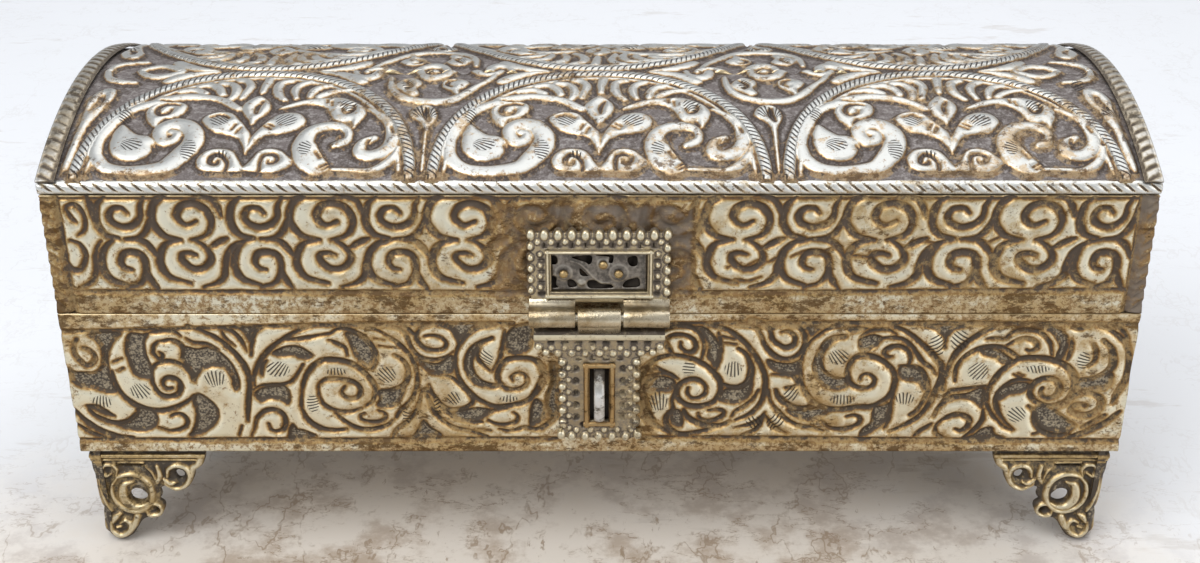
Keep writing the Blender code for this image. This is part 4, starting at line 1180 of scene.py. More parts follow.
        104.5, 44.5, 104.75, 45.5),
    cut(0.55, 99.25, 33.75, 97, 36, 95.25, 38.5, 94.25, 41.5, 94.5, 44, 96, 46, 98, 47.5, 100, 47.75, 102, 47.25),
    cut(0.6, 102, 40.5, 103.5, 39, 104, 36.5, 105.5, 34, 108, 32.5, 110.5, 32.25, 112.5, 33),
    cut(0.55, 112.5, 43.5, 114.5, 44.25, 117, 44, 119, 42.5, 119, 40, 117, 38.25, 114.5, 38, 112.5, 39, 112.5, 40.5,
        114, 41, 115.5, 40.75),
    cut(0.55, 112.5, 31.75, 115, 32.5, 118, 34, 121, 36, 124, 39), cut(0.4, 115.5, 34.5, 118.5, 36.5, 120.5, 38),
    cut(0.8, 113.5, 47.75, 116.5, 48, 119, 49.25, 120.5, 51.5, 120.25, 54.5, 119.5, 56.5, 117.5, 58.5),
    cut(0.6, 116, 62.5, 119, 61, 121.5, 59, 123.5, 56.5, 124.3, 51.5, 124, 47.5, 122.5, 44, 122, 41.5),
    cut(0.35, 120.5, 62, 122.5, 60, 123.5, 57.5), cut(0.5, 115.25, 57.5, 116.25, 55.5, 116.25, 53, 115, 51.5),
    cut(0.3, 109.75, 62, 111.5, 61.5, 113.5, 62), cut(0.45, 110, 59, 110.25, 56.5, 109.75, 53.5),
    cut(0.3, 97.5, 49.2, 99.4, 48.3), cut(0.3, 98.6, 49.6, 100, 48.9),
    cut(0.5, 79.75, 37.5, 80.5, 39.5, 82, 42, 83, 44.5, 85.5, 45, 88.5, 45.5, 91.5, 46),
    cut(0.55, 80.5, 35, 82, 36.5, 84.5, 38, 87, 37.75, 88.5, 36.5, 88, 34.5, 86.5, 33.5, 85.25, 34),
    cut(0.5, 80.5, 34.5, 81, 32.5, 83.5, 31), cut(0.45, 79.5, 35.5, 77, 33.5, 75.5, 32),
    cut(0.6, 91.5, 39.5, 91.5, 36.5, 90, 34, 87.5, 31.5), cut(0.35, 104, 32.6, 106.2, 33.2),
    cut(0.3, -125, 31.2, -100, 31.1, -84, 31.2, -60, 31.0, -30, 31.4, -10, 31.4),
    cut(0.3, 10, 31.9, 40, 31.6, 80, 31.1, 125, 30.9),
    cut(0.22, -125, 60.9, -105, 61.4, -80, 62.2, -50, 62.9, -20, 63.1),
    cut(0.22, 14, 63.1, 50, 63.2, 90, 63.1, 125, 62.8),
    pocket(-118.5, 60.3, -111.5, 60.6, -113, 58.5, -114.8, 55, -115.3, 51, -114.9, 46.5, -114.2, 44.3, -116.5, 44.2,
           -119.5, 45.2, -122.5, 45.8, -124.3, 47.5, -124.6, 51, -123.5, 50, -121.5, 49.8, -118.5, 50, -116.8, 52,
           -116.3, 55.5, -117, 58.3),
    pocket(-109, 60.5, -106.5, 60.2, -104.8, 60.3, -106, 58, -106, 54.5, -105.3, 51.5, -105.2, 49, -106.5, 48,
           -109.3, 49, -110.3, 52, -110.9, 55.5, -110.2, 58.5),
    pocket(-97, 56.8, -94, 56.2, -91.5, 56.6, -89, 55.5, -86.8, 53, -85.3, 49.5, -85, 46, -86, 44.8, -86.6, 46,
           -86.8, 48.5, -87.8, 50.6, -89.5, 51.4, -91.5, 51.2, -93.5, 50.2, -94.8, 48.5, -95.5, 47, -96, 49.5,
           -97.5, 52, -98, 54, -97.6, 55.5),
    pocket(-95.3, 44, -93.5, 43, -91.8, 41.3, -90.8, 39, -91.2, 36.5, -93, 34.3, -95.5, 32.5, -98.5, 32, -97.5, 33.5,
           -96.5, 36, -96.3, 39, -96.6, 42),
    pocket(-110, 39.8, -107.5, 39.5, -105.8, 38.5, -105.5, 36, -107, 34.2, -110, 33.4, -113.5, 33.9, -116, 35.3,
           -114, 35.6, -112, 36.5, -110.5, 38),
    pocket(-83.5, 61.8, -79.5, 62, -80.8, 60.3, -81.5, 58, -82.5, 60),
    pocket(-76.5, 55.2, -74, 56.6, -71, 57, -68.8, 56, -67, 54.3, -68.5, 53.3, -70, 53.6, -72, 54.3, -75, 54.2),
    pocket(-81.8, 43.5, -80.5, 45.3, -77, 46, -74.3, 46, -73.3, 43.5, -74, 40.8, -75.5, 42, -78, 42.3, -80.3, 41.8),
    pocket(-73.5, 35.5, -72.3, 34, -70.5, 33.5, -68, 31.8, -74, 31.3, -74.5, 33),
    pocket(-59, 60.5, -56.5, 60, -54, 58, -52.75, 55, -53.25, 52.5, -54.5, 51, -56.5, 53, -57.75, 55.5, -58.5, 58),
    pocket(-52.5, 44.75, -48.5, 45, -45.75, 47, -46.5, 43.5, -48, 41, -50, 40, -53, 40.5, -52.25, 42.5),
    pocket(-42, 36.5, -40.5, 34.5, -38, 32, -48, 31.5, -45, 32, -43.5, 34),
    pocket(-34.5, 62.75, -26, 63, -28.5, 62, -31, 60, -32.5, 58.5, -33.5, 60.5),
    pocket(-43, 53.75, -41, 52.75, -38, 52.25, -34.5, 54.5, -34, 51.5, -35, 49.5, -38, 49.25, -40.5, 50),
    pocket(-15.6, 62.6, -18.5, 62.5, -20.5, 61.5, -22, 59, -21.5, 55.5, -19.5, 54.6, -17, 55.4, -15.6, 58),
    pocket(-11.4, 52, -10, 51.5, -9.8, 44, -10, 38, -11.2, 37.5, -12.6, 40, -12.2, 44, -11.2, 47),
    pocket(-35, 38.5, -32, 39.5, -29, 40, -26, 39.5, -27, 38, -28.5, 36.5, -31.5, 36, -34, 36.5),
    pocket(-15, 42.5, -13, 40.5, -13, 38, -14.5, 36, -16.5, 35, -16.5, 38.5, -16, 41),
    pocket(11, 45, 12, 46.5, 13, 48.25, 15, 48.75, 17.5, 47.75, 18, 46.5, 17, 44.75, 15, 44.5, 12.5, 44.5),
    pocket(17.25, 39.25, 18.75, 39.5, 19.75, 38.5, 20, 36.5, 19.5, 34.5, 17.5, 35.5, 17, 37.5),
    pocket(30, 45.25, 33, 45.25, 35, 46.5, 36, 49, 36.25, 46.5, 35.75, 44, 34.5, 42, 32, 41, 29.5, 41.5, 28, 42.25,
           29, 44),
    pocket(22, 62, 24.5, 62, 26, 60.5, 27.5, 58.5, 28.5, 56.5, 28.25, 54, 27.25, 51, 26.25, 52.5, 25.25, 54,
           25.5, 56.5, 24.75, 58.5, 23.5, 61),
    pocket(39.5, 53.25, 42, 52.5, 45, 52.25, 47, 53, 46.75, 49.5, 45, 49, 42.5, 49.5, 40.75, 50.5, 39.5, 52),
    pocket(48, 62.25, 50, 62.25, 52, 62.5, 50.5, 60.5, 49.25, 59.5, 48.5, 61),
    pocket(44.5, 39.5, 47, 39.25, 50, 39.5, 52.5, 40, 54.5, 39, 53, 37, 50.5, 36.25, 47.5, 37, 45.5, 38),
    pocket(57.5, 59.9, 55, 59.75, 53, 58.75, 51.5, 56.5, 50.3, 53, 50.5, 50, 51.8, 47, 54, 45.3, 57, 45, 58.5, 45.8,
           58.3, 48, 56, 48.3, 53.8, 49.3, 52.6, 51.5, 52.5, 54, 53.5, 56.7, 55.5, 58.5, 57.5, 59),
    pocket(57.5, 62, 62, 61.75, 59, 60.5),
    pocket(60.5, 58.5, 62, 59.5, 64, 60, 66, 59, 65, 57, 63, 55.6, 61.2, 55.6),
    pocket(70.5, 51.25, 73.5, 51.25, 75.5, 50.25, 77, 48, 77.5, 45, 77, 44.5, 75.75, 46.5, 74.5, 47.25, 72.5, 47.5,
           70.75, 48.5),
    pocket(65.25, 40, 67, 40.5, 69.3, 41.3, 69.2, 38.5, 68.8, 36.5, 67, 34.5, 64.5, 32.5, 62.5, 32, 63, 34, 65, 36),
    pocket(75, 62.75, 84.5, 62.5, 83, 61.5, 81.5, 60.25, 80.75, 58.75, 79.5, 60, 78, 61.5, 76, 62.25),
    pocket(101.5, 62.5, 104.5, 62.5, 107, 61.5, 109, 59.5, 109.5, 57, 108.75, 54, 107.5, 53, 107, 54.5, 107.5, 57,
           105.5, 60, 103.5, 61.5),
    pocket(94.5, 44.5, 96.5, 46, 99, 47, 101.5, 46.75, 101.5, 45, 99.5, 44, 97, 43.5, 95.25, 42, 94.5, 42.5),
    pocket(103.75, 40, 107, 40.25, 109.5, 38.5, 112, 36.5, 114, 35, 112.5, 33.5, 109.5, 33.25, 106.5, 34, 104.5, 36.5),
    pocket(113.5, 47.5, 116, 47.75, 118.5, 49, 120.5, 50, 121, 47.5, 120, 45.5, 117, 44.75, 114.5, 44.5, 113, 45.5),
    pocket(82, 41.5, 83.5, 43.5, 87, 44, 91, 45.5, 91.25, 40, 90, 40.5, 88.5, 42, 86, 42.5, 83.5, 42),
    pocket(91.5, 34, 94, 34.5, 95, 32.5, 97, 31.5, 88, 31.25, 90, 32.5),
    pocket(89, 55.75, 92, 56.25, 94, 55.5, 96, 54, 97, 53, 95, 52, 93, 53.5, 90.5, 54.25),
)

BASE_HATCHES = (
    Hatching((-108.5, 45), (2.6, 2.2), (-112, 52)), Hatching((-90.5, 48.5), (2.8, 2.2), (-90, 42)),
    Hatching((-118, 42), (2.6, 1.8), (-117, 50)), Hatching((-75.5, 51), (3.0, 2.2), (-70, 58)),
    Hatching((-68, 41.5), (1.6, 2.6), (-58, 43)), Hatching((-50, 49.5), (2.4, 2.4), (-44, 42)),
    Hatching((-26.5, 54), (1.8, 2.4), (-20, 50)), Hatching((-34.5, 43), (1.8, 2.0), (-30, 36)),
    Hatching((-21.5, 42.8), (2.4, 1.0), (-21, 52)), Hatching((-61.8, 50.3), (2.6, 1.2), (-62, 60)),
    Hatching((-46, 37.5), (1.1, 2.6), (-60, 42), 0.9), Hatching((-38.6, 40.5), (1.0, 3.0), (-24, 46), 0.9),
    Hatching((21, 51.2), (1.6, 2.2), (40, 49)), Hatching((14, 42), (2.4, 2.6), (15, 34)),
    Hatching((31.4, 51), (2.2, 2.3), (31.5, 62)), Hatching((37, 36), (2.2, 2.0), (46, 22), 0.9),
    Hatching((42, 36.2), (2.2, 2.4), (30, 22), 0.9), Hatching((45.4, 44), (2.0, 2.0), (50, 50)),
    Hatching((56, 54.3), (2.6, 2.2), (50, 62)), Hatching((57.6, 42.6), (3.2, 1.5), (57, 60)),
    Hatching((72.4, 43), (2.4, 1.8), (72.5, 36)), Hatching((89, 50.5), (2.6, 2.6), (97, 60)),
    Hatching((99.3, 38.5), (2.4, 2.4), (106, 33)), Hatching((102.8, 51), (3.2, 1.1), (108, 36)),
    Hatching((113.4, 53.3), (1.7, 2.7), (125, 50)), Hatching((78.6, 57.2), (2.2, 3.2), (92, 66), 0.95),
    Hatching((84, 58.6), (2.4, 3.0), (70, 70), 0.95),
)

# Stains and painted shade: a rectangle's lowest and highest corner, how far it fades, and how much of it

BASE_DIRT_AND_SHADE = (
    ((-125, 61.9), (125, 65.8), 0.5, 0.34), ((-125, 27), (125, 30.6), 0.5, 0.46), ((-13, 27), (12, 58), 1.6, 0.4),
    # The strong patch over the slot, behind the staple, is painted shade in the hole.
    ((-2.4, 37.8), (2.4, 53), 0.5, 2.6), ((-125, 50), (-119, 61), 6.0, 0.22), ((112, 33), (125, 45), 6.0, 0.25),
)

LID_DIRT_AND_SHADE = (
    # The strong patch over the window is painted shade behind the pierced scroll.
    ((-125, 65.9), (125, 71.2), 0.4, 0.52), ((-10.6, 72.6), (10.6, 81.6), 0.4, 2.6), ((-23, 70), (20, 92), 2.4, 0.86),
    # The right corner strip is darker than the left, as painted shade on the side away from the light.
    ((-125, 66), (-122, 98), 0.8, 0.6), ((121.6, 66), (125, 98), 0.8, 1.0), ((-17, 66), (16, 71), 3.0, 0.5),
    ((-125, 72), (-104, 76), 3.0, 0.22), ((60, 72), (121, 78), 3.0, 0.18),
)

LID_CRACKS = (
    (29, 77.6, 31.5, 78.4, 33, 77.8, 36, 79.4, 38.5, 79.1, 41, 80.6), (43.5, 80.4, 47, 81.8, 49.5, 81.3, 53, 82.6),
    (55.5, 79.4, 58, 80.6, 61.5, 80.2, 64, 81.5), (70, 83.1, 73.4, 84.2, 76.2, 83.8, 79.6, 85.3),
    (88, 84, 91, 85.4, 95, 85), (31, 74.6, 34, 74.1, 37, 75.2),
)

LID_PAIR = (
    cut(0.6, -110.5, 95.25, -112.25, 93.5, -113, 90.5, -112.75, 88, -111.25, 85.75, -108.5, 85),
    cut(0.55, -105.75, 91.25, -107, 92.5, -109, 92.25, -110, 90.5, -109.25, 88.75, -107, 87.75, -104.5, 88.5,
        -103, 90.5, -102.75, 93, -101.75, 95.25),
    cut(0.5, -107, 84.75, -104.5, 85, -102.75, 86, -101.5, 88, -100.5, 90.5, -100, 93, -99, 95, -97, 95.75),
    cut(0.5, -107, 84.75, -103.5, 84.5, -101.5, 82.5, -100.2, 80),
    cut(0.6, -110, 84.5, -112, 82.5, -113, 80, -113, 77, -111.5, 74.5, -108, 73),
    cut(0.55, -106.5, 77, -108, 77.5, -108.75, 79, -108, 81, -106, 81.5, -104, 80.75, -103.25, 78.5, -103.5, 76,
        -105, 73.5, -108, 72.5),
    cut(0.5, -103, 80, -103.25, 76.5, -102.25, 74, -101, 72),
    cut(0.6, -97, 95.25, -99.5, 93.5, -100.5, 90.5, -100, 88, -98, 85.5, -94.5, 84.5),
    cut(0.6, -90.5, 89.25, -92.5, 88.25, -94, 89, -94.75, 90.75, -93.5, 93, -91, 93.75, -88.5, 92.5, -87.25, 90,
        -87.5, 87.5, -89, 85.5, -92, 84.5),
    cut(0.5, -90.5, 95.75, -87, 95, -85.5, 93, -84.8, 90.5),
    cut(0.6, -95, 84.5, -98, 83.5, -99.5, 81, -99.75, 78, -98, 75, -93.5, 73.5),
    cut(0.55, -91.5, 80.75, -93, 81.25, -94.75, 80.75, -94.5, 79, -92.5, 77.25, -90, 77.5, -88.25, 79.5, -88.5, 81.5,
        -90, 83.5, -91.5, 84.5),
    cut(0.5, -88.25, 82.5, -86, 84, -84, 85),
    cut(0.5, -90.5, 72.5, -87.5, 73.5, -85.5, 75.5, -85, 78.5, -84, 81.5, -82, 83.5, -78.5, 84.75),
)

DOME_ARCH = (
    ridge((0.9, 1.3, 1.5, 1.5, 1.5, 2.5, 1.9, 1.4, 0.8), -4, 25.5, -9, 29.5, -15.5, 31, -20.5, 30, -24, 28, -28, 25.5,
          -31, 22, -33, 18, -34, 14, -34, 10, -33, 7, -30.5, 4.5, -27, 3.5, -23, 3.5, -18, 4.5, -15.5, 7, -13, 11,
          -12.5, 15, -14.5, 18.5, -17.5, 19.5, -20, 18, -20.5, 15.5, -19, 13, -17, 13.5, -16.5, 15.5, -18, 16.5),
    leaf(-29.5, 19, -27.5, 17, -25.5, 15.3, -23, 14.8, -21.3, 13, -21, 10.5, -22, 8, -24.5, 6.8, -27.5, 7.2, -30, 9,
         -31, 11.5, -31, 14, -30.8, 16.5),
    cut(0.5, -31.5, 14, -32, 11, -30.5, 8, -28, 6.5, -24.5, 6.25, -22, 7.5, -21, 10, -21.5, 11.5),
    leaf(-22, 18, -24.5, 21.5, -25, 25, -23, 27.5, -19.5, 28.5, -16.5, 27, -16.5, 24, -18.5, 22, -20.5, 21.5,
         -21.5, 20),
    cut(0.45, -18, 27, -20, 27.25, -22, 26.5, -22.75, 24.5, -21.75, 23, -20, 23.5, -19.5, 25),
    leaf(-11.5, 21.3, -10, 23.2, -7.5, 24, -5, 23.3, -3, 20.5, -1, 17.5, 0, 15.5, 0, 9, -0.8, 11.5, -2.5, 14.5,
         -5.5, 15.8, -8.5, 16.8, -10.8, 19.3),
    leaf(0, 3.5, -1, 6, -3, 9.5, -5.5, 10.5, -8.5, 10, -10.5, 7.5, -10.2, 5, -8, 3.5, -3.8, 3.3),
    cut(0.5, -3.8, 3.5, -3.8, 6, -5, 8, -6.5, 8.5, -7.5, 7.5, -7.5, 6, -6, 5.7, -5.8, 6.8),
    leaf(0, 31, 2.5, 28.5, 3.3, 26, 2.5, 23.5, 1, 21, 0, 19, -1, 21, -2.5, 23.5, -3.3, 26, -2.5, 28.5),
    cut(0.4, 1.2, 28.5, 0.3, 26, 0.3, 23.5),
    ridge((1.1, 1.0, 0.7), -6, 39.5, -4, 38.5, -3, 36, -3.5, 33, -4, 30.5),
    ridge((1.0, 1.1, 0.8), -10, 37.5, -7.5, 37, -6, 34.5, -6, 31.5, -6.5, 30),
    ridge((0.9, 1.2, 0.9), -15, 36, -12, 36.5, -10, 34.5, -9, 32),
    ridge((0.8, 1.1, 0.9), -19, 33.5, -15.5, 34, -13, 32.5),
    ridge((1.1, 1.0, 0.7), 1, 40, 0.6, 36.5, 0.4, 33),
    ridge((0.9, 1.1, 1.1, 0.6), 6.3, 39, 4.2, 38, 3.6, 35, 4.3, 32, 6, 29.5),
    ridge((0.9, 1.1, 1.0, 0.6), 11, 38.3, 9.3, 37.3, 8.1, 35.3, 8, 32.8, 8.7, 30.2),
    ridge((0.9, 1.1, 0.7), 15.8, 36.3, 13.4, 35.3, 12, 32.8, 11.7, 30.6),
    ridge((0.7, 1.0, 0.8), 20.3, 34, 17.4, 33.4, 15, 32, 13.8, 30.9),
    leaf(5.5, 25.5, 7.5, 27.3, 10, 28.8, 13, 29.8, 16, 30, 18.5, 30.3, 21, 29.5, 23, 28, 24.5, 26.5, 25.5, 24.5,
         25.5, 22.5, 24.5, 20, 23.5, 18, 22.5, 20.5, 21, 20, 19, 21, 18, 23, 17.2, 25, 16, 26.5, 14, 27.5, 11.5, 27.5,
         9, 26.5),
    cut(0.35, 16.1, 29.4, 16.2, 28), cut(0.35, 17.3, 28.5, 17.5, 26.8),
    cut(0.35, 20, 25.5, 20.8, 23.8, 22, 24, 22.8, 25.5, 22.6, 26.8),
    ridge((2.6, 3.0, 2.7, 2.3, 1.8, 1.6, 1.4, 1.2, 0.8), 16.5, 4.5, 14.2, 7.5, 13, 11.5, 13.8, 15.5, 16.5, 18, 20, 18.2,
          22, 16, 21.6, 12.8, 19.8, 11.8),
    cut(0.55, 20, 13.9, 21.2, 14.6, 20.6, 16.2, 18.6, 16.6, 16.6, 16.1, 15.6, 14.6, 16, 12.6, 17.5, 11, 18.6, 9.4),
    cut(0.45, 15.6, 9.6, 16.8, 7.6), cut(0.3, 17.2, 4.6, 19, 5.8), cut(0.3, 17.8, 4, 19.4, 5),
    ridge((0.4, 0.6, 0.8, 1.1, 0.9, 0.5), 20, 4, 24, 3.8, 28, 3.5, 31, 5, 33.3, 8, 34.2, 11),
    ridge((0.3, 0.7, 1.0, 1.3, 1.5, 1.6, 1.6, 1.4, 1.1, 0.8), 26.2, 25.3, 28.5, 23.5, 31, 20.5, 32.3, 17, 32.5, 13,
          31, 9.8, 28, 8.3, 25.5, 9.5, 26, 12.5, 28.5, 14.3),
    cut(0.45, 29.8, 12.2, 28.6, 11.3, 27.2, 12.2, 27.4, 13.6), cut(0.3, 32, 18.2, 32.6, 16.2),
    leaf(0.3, 13, 1, 15.5, 2.5, 18.5, 4, 21, 5.5, 22.7, 8, 23.7, 10.5, 23.2, 12, 21, 11.7, 19, 10, 17, 7.5, 16,
         5, 15.7, 2.5, 14.2, 0.2, 10),
    leaf(0, 4, 1.5, 6.5, 3, 9.5, 5, 10.5, 7.5, 10, 9.5, 8, 10.7, 6, 9, 4.2, 7, 3, 4, 3.2),
    cut(0.5, 3.7, 3.5, 3.6, 6.5, 4.2, 8.4, 6, 8.8, 7.2, 7.8, 6.9, 6.4, 5.6, 6, 5.3, 7),
    cut(0.3, -9.8, 22, -7.6, 22.8, -5.6, 21.6), cut(0.3, -4.4, 17.2, -3.6, 19.2), cut(0.3, -3.2, 16, -2.4, 18),
    cut(0.3, 2.8, 18.6, 4.6, 17.4), cut(0.3, 3.8, 19.4, 5.2, 18.4), cut(0.3, -22.6, 29.2, -20, 28.6),
)

DOME_STALK = (
    leaf(36, 24, 37, 26, 39, 27, 41, 26, 42, 23.5, 41.8, 21, 40.8, 18.5, 40.3, 15, 40.2, 6, 40, 2.5, 39.8, 6, 39.7, 15,
         39.2, 18.5, 37.8, 21, 36.2, 22.5),
    cut(0.55, 39.7, 25.5, 39.5, 23, 40.4, 20.5),
)

DOME_CLUSTER = (
    ridge((0.5, 0.9, 1.0, 1.1, 1.2, 1.1, 0.9, 0.7, 0.6), 30, 41, 30.3, 36.5, 31.5, 33, 34, 30.5, 38, 29, 42, 28.8,
          45.5, 30, 48, 32.5, 50.5, 36, 53.5, 40, 55.8, 45.5),
    leaf(31.5, 36, 32, 38.5, 34, 40.5, 36.5, 39.5, 37.3, 37.5, 36.3, 35, 37, 32.5, 35.5, 31.5, 33.5, 33.5),
    leaf(36, 47, 36.2, 42.5, 38, 40, 40.5, 39.5, 43, 41, 44.5, 43.5, 45, 47),
    cut(0.5, 38, 46.4, 38.4, 43.8, 40, 43.2, 41.5, 44.2, 42, 46.4),
    leaf(42.5, 36.5, 42.8, 39, 44.8, 40.2, 47.3, 39.6, 48.6, 37.8, 47.8, 36, 46.6, 34.4, 46.4, 31.6, 45, 33.4,
         43.4, 35),
    cut(0.45, 45.2, 39.3, 43.9, 38.6, 43.6, 37, 44.6, 35.9),
    leaf(20.5, 47, 20.8, 43, 22.5, 40, 25, 39.5, 27, 41.5, 27.5, 44, 27, 47),
    cut(0.45, 22, 46.4, 22.6, 43.8, 24, 43.2, 25, 44.8), cut(0.3, 33.4, 39, 35, 36.4, 34.2, 34.6),
    leaf(48.6, 46.4, 49.8, 43.6, 52.4, 42.2, 55.2, 42.6, 56.6, 44.6, 56.4, 47),
    cut(0.45, 51.6, 46, 52.6, 44.4, 54.4, 45),
)

DOME_SPANDREL = (
    leaf(-24.5, 38.6, -22.6, 41.6, -19.4, 43.7, -15.5, 44.7, -11.8, 44.8, -14.4, 43.4, -17.6, 41.6, -20.4, 39.4,
         -22.6, 37.6),
)

DOME_CORNER = (
    leaf(34.4, 34, 36.4, 34.8, 38.4, 33, 39.7, 29.5, 39.5, 25.5, 39.4, 20, 39.8, 12, 40.2, 4, 39.2, 4, 38.4, 10,
         37.9, 16, 36.9, 21, 35.4, 26, 34.1, 30),
    cut(0.6, 36.7, 31, 37, 28, 38.4, 25),
    ridge((0.7, 1.2, 1.1, 0.8), 20, 47, 22, 43.5, 25.5, 41.5, 29, 42.5, 31.5, 45.5),
    ridge((0.6, 1.0, 0.7), 31, 38.2, 34.5, 38.8, 37.8, 41, 39, 45),
)

DOME_HATCHES = (
    Hatching((-26, 11.5), (2.6, 2.2), (-31, 14)), Hatching((-13, 10), (1.8, 3.2), (-30, 12)),
    Hatching((-7.6, 20.4), (2.4, 2.4), (0, 14)), Hatching((21.5, 26.6), (2.2, 2.4), (16, 22)),
    Hatching((13.2, 10.4), (1.6, 2.4), (20, 8)), Hatching((7.8, 20.2), (2.6, 2.4), (0, 14)),
    Hatching((34.2, 36.8), (1.6, 2.6), (40, 40)), Hatching((-5.4, 8.6), (1.6, 1.2), (-5, 4)),
    Hatching((38.4, 24), (2.2, 2.6), (39.8, 20)), Hatching((41.2, 24), (1.4, 2.6), (39.8, 20)),
    Hatching((-29.6, 22.4), (1.6, 2.6), (-20, 16)),
)

FOOT_OUTLINE = leaf(
    0.1, 0, 9, 0, 18, 0, 28.4, 0, 28.5, 2.4, 27.8, 4.9, 25.6, 6.9, 25.0, 9.2, 23.2, 11.9, 20.2, 13.3, 17.9, 12.0,
    16.1, 12.6, 16.2, 14.6, 15.4, 15.8, 16.5, 17.0, 16.4, 18.7, 15.3, 20.4, 13.4, 21.1, 11.4, 21.5, 10.1, 22.4,
    9.0, 24.1, 7.4, 26.4, 5.2, 27.6, 3.0, 27.6, 1.4, 25.6, 0.9, 23, 0.7, 20, 1.1, 17.4, 0.6, 14.6, 0.15, 10,
)

FOOT_HOLES = (
    leaf(8.2, 14.4, 9.0, 13.0, 10.9, 12.9, 12.4, 14.3, 12.2, 15.7, 10.6, 16.5, 8.8, 15.9),
    leaf(6.2, 5.0, 9, 4.9, 12.2, 5.1, 12.4, 5.9, 9, 6.0, 6.4, 5.9),
    leaf(20.3, 8.1, 21.2, 7.2, 22.5, 7.8, 22.3, 9.3, 21, 9.6),
    leaf(13.9, 18.2, 14.7, 17.8, 15.3, 18.4, 14.8, 19.1, 14.1, 18.9),
)

FOOT_RIDGES = (
    ridge((0.5, 0.7, 0.8, 0.7, 0.5), 4.6, 7.6, 3.0, 8.4, 2.2, 6.9, 3.0, 5.3, 4.9, 5.2, 6.0, 6.6, 5.6, 8.4),
    ridge((0.7, 0.9, 1.0, 0.9, 0.9, 0.8, 0.6), 5.8, 8.8, 7.6, 8.1, 10.2, 8.0, 12.8, 9.6, 14.0, 12.2, 13.8, 15.2,
          12.4, 17.6, 9.8, 18.9, 7.0, 18.4, 4.9, 16.4, 4.0, 13.8, 4.3, 11.0, 5.6, 9.2),
    ridge((0.5, 1.1, 1.4, 1.5, 1.2, 0.9, 0.5), 9.4, 10.2, 7.4, 10.9, 6.7, 13, 6.9, 15.4, 8.6, 17.4, 11, 17.4, 13, 16.2),
    ridge((0.5, 0.6, 0.5), 1.2, 9.6, 1.3, 13, 2.2, 16.8, 3.2, 18.8),
    ridge((0.7, 1.1, 0.6), 5.2, 19.6, 3.9, 20.6, 3.0, 22.2),
    ridge((0.5, 0.9, 0.9, 0.8, 0.5), 2.5, 22.2, 2.6, 24.9, 4.4, 26.3, 6.6, 25.2, 7.4, 23, 6.3, 21.6, 4.8, 22.4),
    ridge((1.0, 1.1, 0.5), 9.4, 20.4, 8.4, 22.8, 6.9, 25.6), ridge((0.5, 0.4), 3.8, 23.8, 4.8, 23.6),
    ridge((0.5, 0.8, 0.9, 0.8, 0.5), 12.0, 18.6, 12.4, 20.0, 14.2, 20.3, 15.7, 19.2, 15.4, 17.4, 14.0, 16.8,
          12.9, 17.4),
    ridge((0.6, 0.9, 0.9, 0.9, 0.7, 0.5), 18.4, 8.6, 18.9, 6.5, 20.9, 5.4, 23.3, 6.1, 24.1, 8.6, 22.9, 11.2,
          20.4, 12.3, 18.0, 11.2, 17.6, 9.8),
    ridge((0.7, 0.9, 0.5), 17.6, 9.4, 18.9, 10.6, 20.4, 10.3), ridge((0.6, 1.0, 0.7), 15.6, 10.4, 16.6, 8.2, 16.2, 5.6),
    ridge((1.0, 1.3, 1.2, 0.6), 27.3, 3.4, 26.8, 5.0, 25.3, 6.2, 24.6, 8.6),
    ridge((0.42, 0.42), -0.5, 3.75, 14, 3.65, 28, 3.75), ridge((0.3, 0.3), -0.5, 0.45, 28.4, 0.45),
    ridge((0.4, 0.6, 0.4), 13.2, 5.6, 14.8, 7.4, 15.4, 9.8), ridge((0.5, 0.5), 6.5, 4.6, 12.8, 4.6),
)

SCROLL_HOLES = (
    leaf(-11.2, 79.2, -10.9, 81, -9.8, 81, -9.5, 79.6, -10.1, 78.9),
    leaf(-6.3, 80.7, -4.4, 81.1, -2, 81.2, -1.6, 80.2, -2.2, 78.9, -3.4, 79.6),
    leaf(-1.2, 81.3, 1, 81.4, 2.9, 81.3, 3.2, 80.6, 2.9, 79.3, 2.2, 79.5, 2.2, 80.8, 0.6, 81.1),
    leaf(6.5, 80.6, 8.4, 81, 8.6, 78.9, 7.6, 78.4, 6.7, 79), leaf(-4.4, 77.9, -3, 76.6, -2.6, 75.9, -4.2, 76.2),
    leaf(-11.3, 75.8, -9.9, 75.6, -9.9, 74, -9.5, 73, -11.3, 73.2),
    leaf(-7.2, 74.8, -6.2, 75, -5.2, 74, -5.4, 73.2, -7, 73.2),
    leaf(-2.6, 74.6, -0.9, 74.8, 0.4, 73.9, 2.6, 73.7, 3, 72.9, 0, 72.7, -2.4, 73),
    leaf(5.4, 73.2, 6, 74.6, 8, 75.4, 9, 75.3, 9.2, 73.4, 7.4, 73),
)

SCROLL_STEMS = (
    ridge((0.25, 0.4, 0.4, 0.3), -6.6, 79.9, -4.6, 79.2, -3.1, 77.8, -1.5, 75.9, 0.1, 74.5, 2.2, 74.2),
    ridge((0.9, 0.9), -4.1, 74.3, -4, 74.3),
)

SCROLL_BOSSES = ((-8.1, 76.9, 1.9), (4.45, 76.9, 2.1), (0.9, 79.2, 1.3), (-4.05, 74.3, 0.9))

FLAP_OUTLINE = leaf(
    -15.1, 62.7, -15.1, 62.7, 0, 62.7, 15.1, 62.7, 15.1, 62.7, 15.1, 59.6, 13.6, 58.2, 9.4, 55.4, 8.4, 53.6, 8.6, 45,
    8.7, 36, 8.8, 34.0, 7.6, 33.2, 4, 33.2, 0, 33.2, -4, 33.2, -7.6, 33.2, -8.8, 34.0, -8.7, 36, -8.6, 45, -8.6, 53.6,
    -9.4, 55.4, -13.6, 58.2, -15.1, 59.6,
)

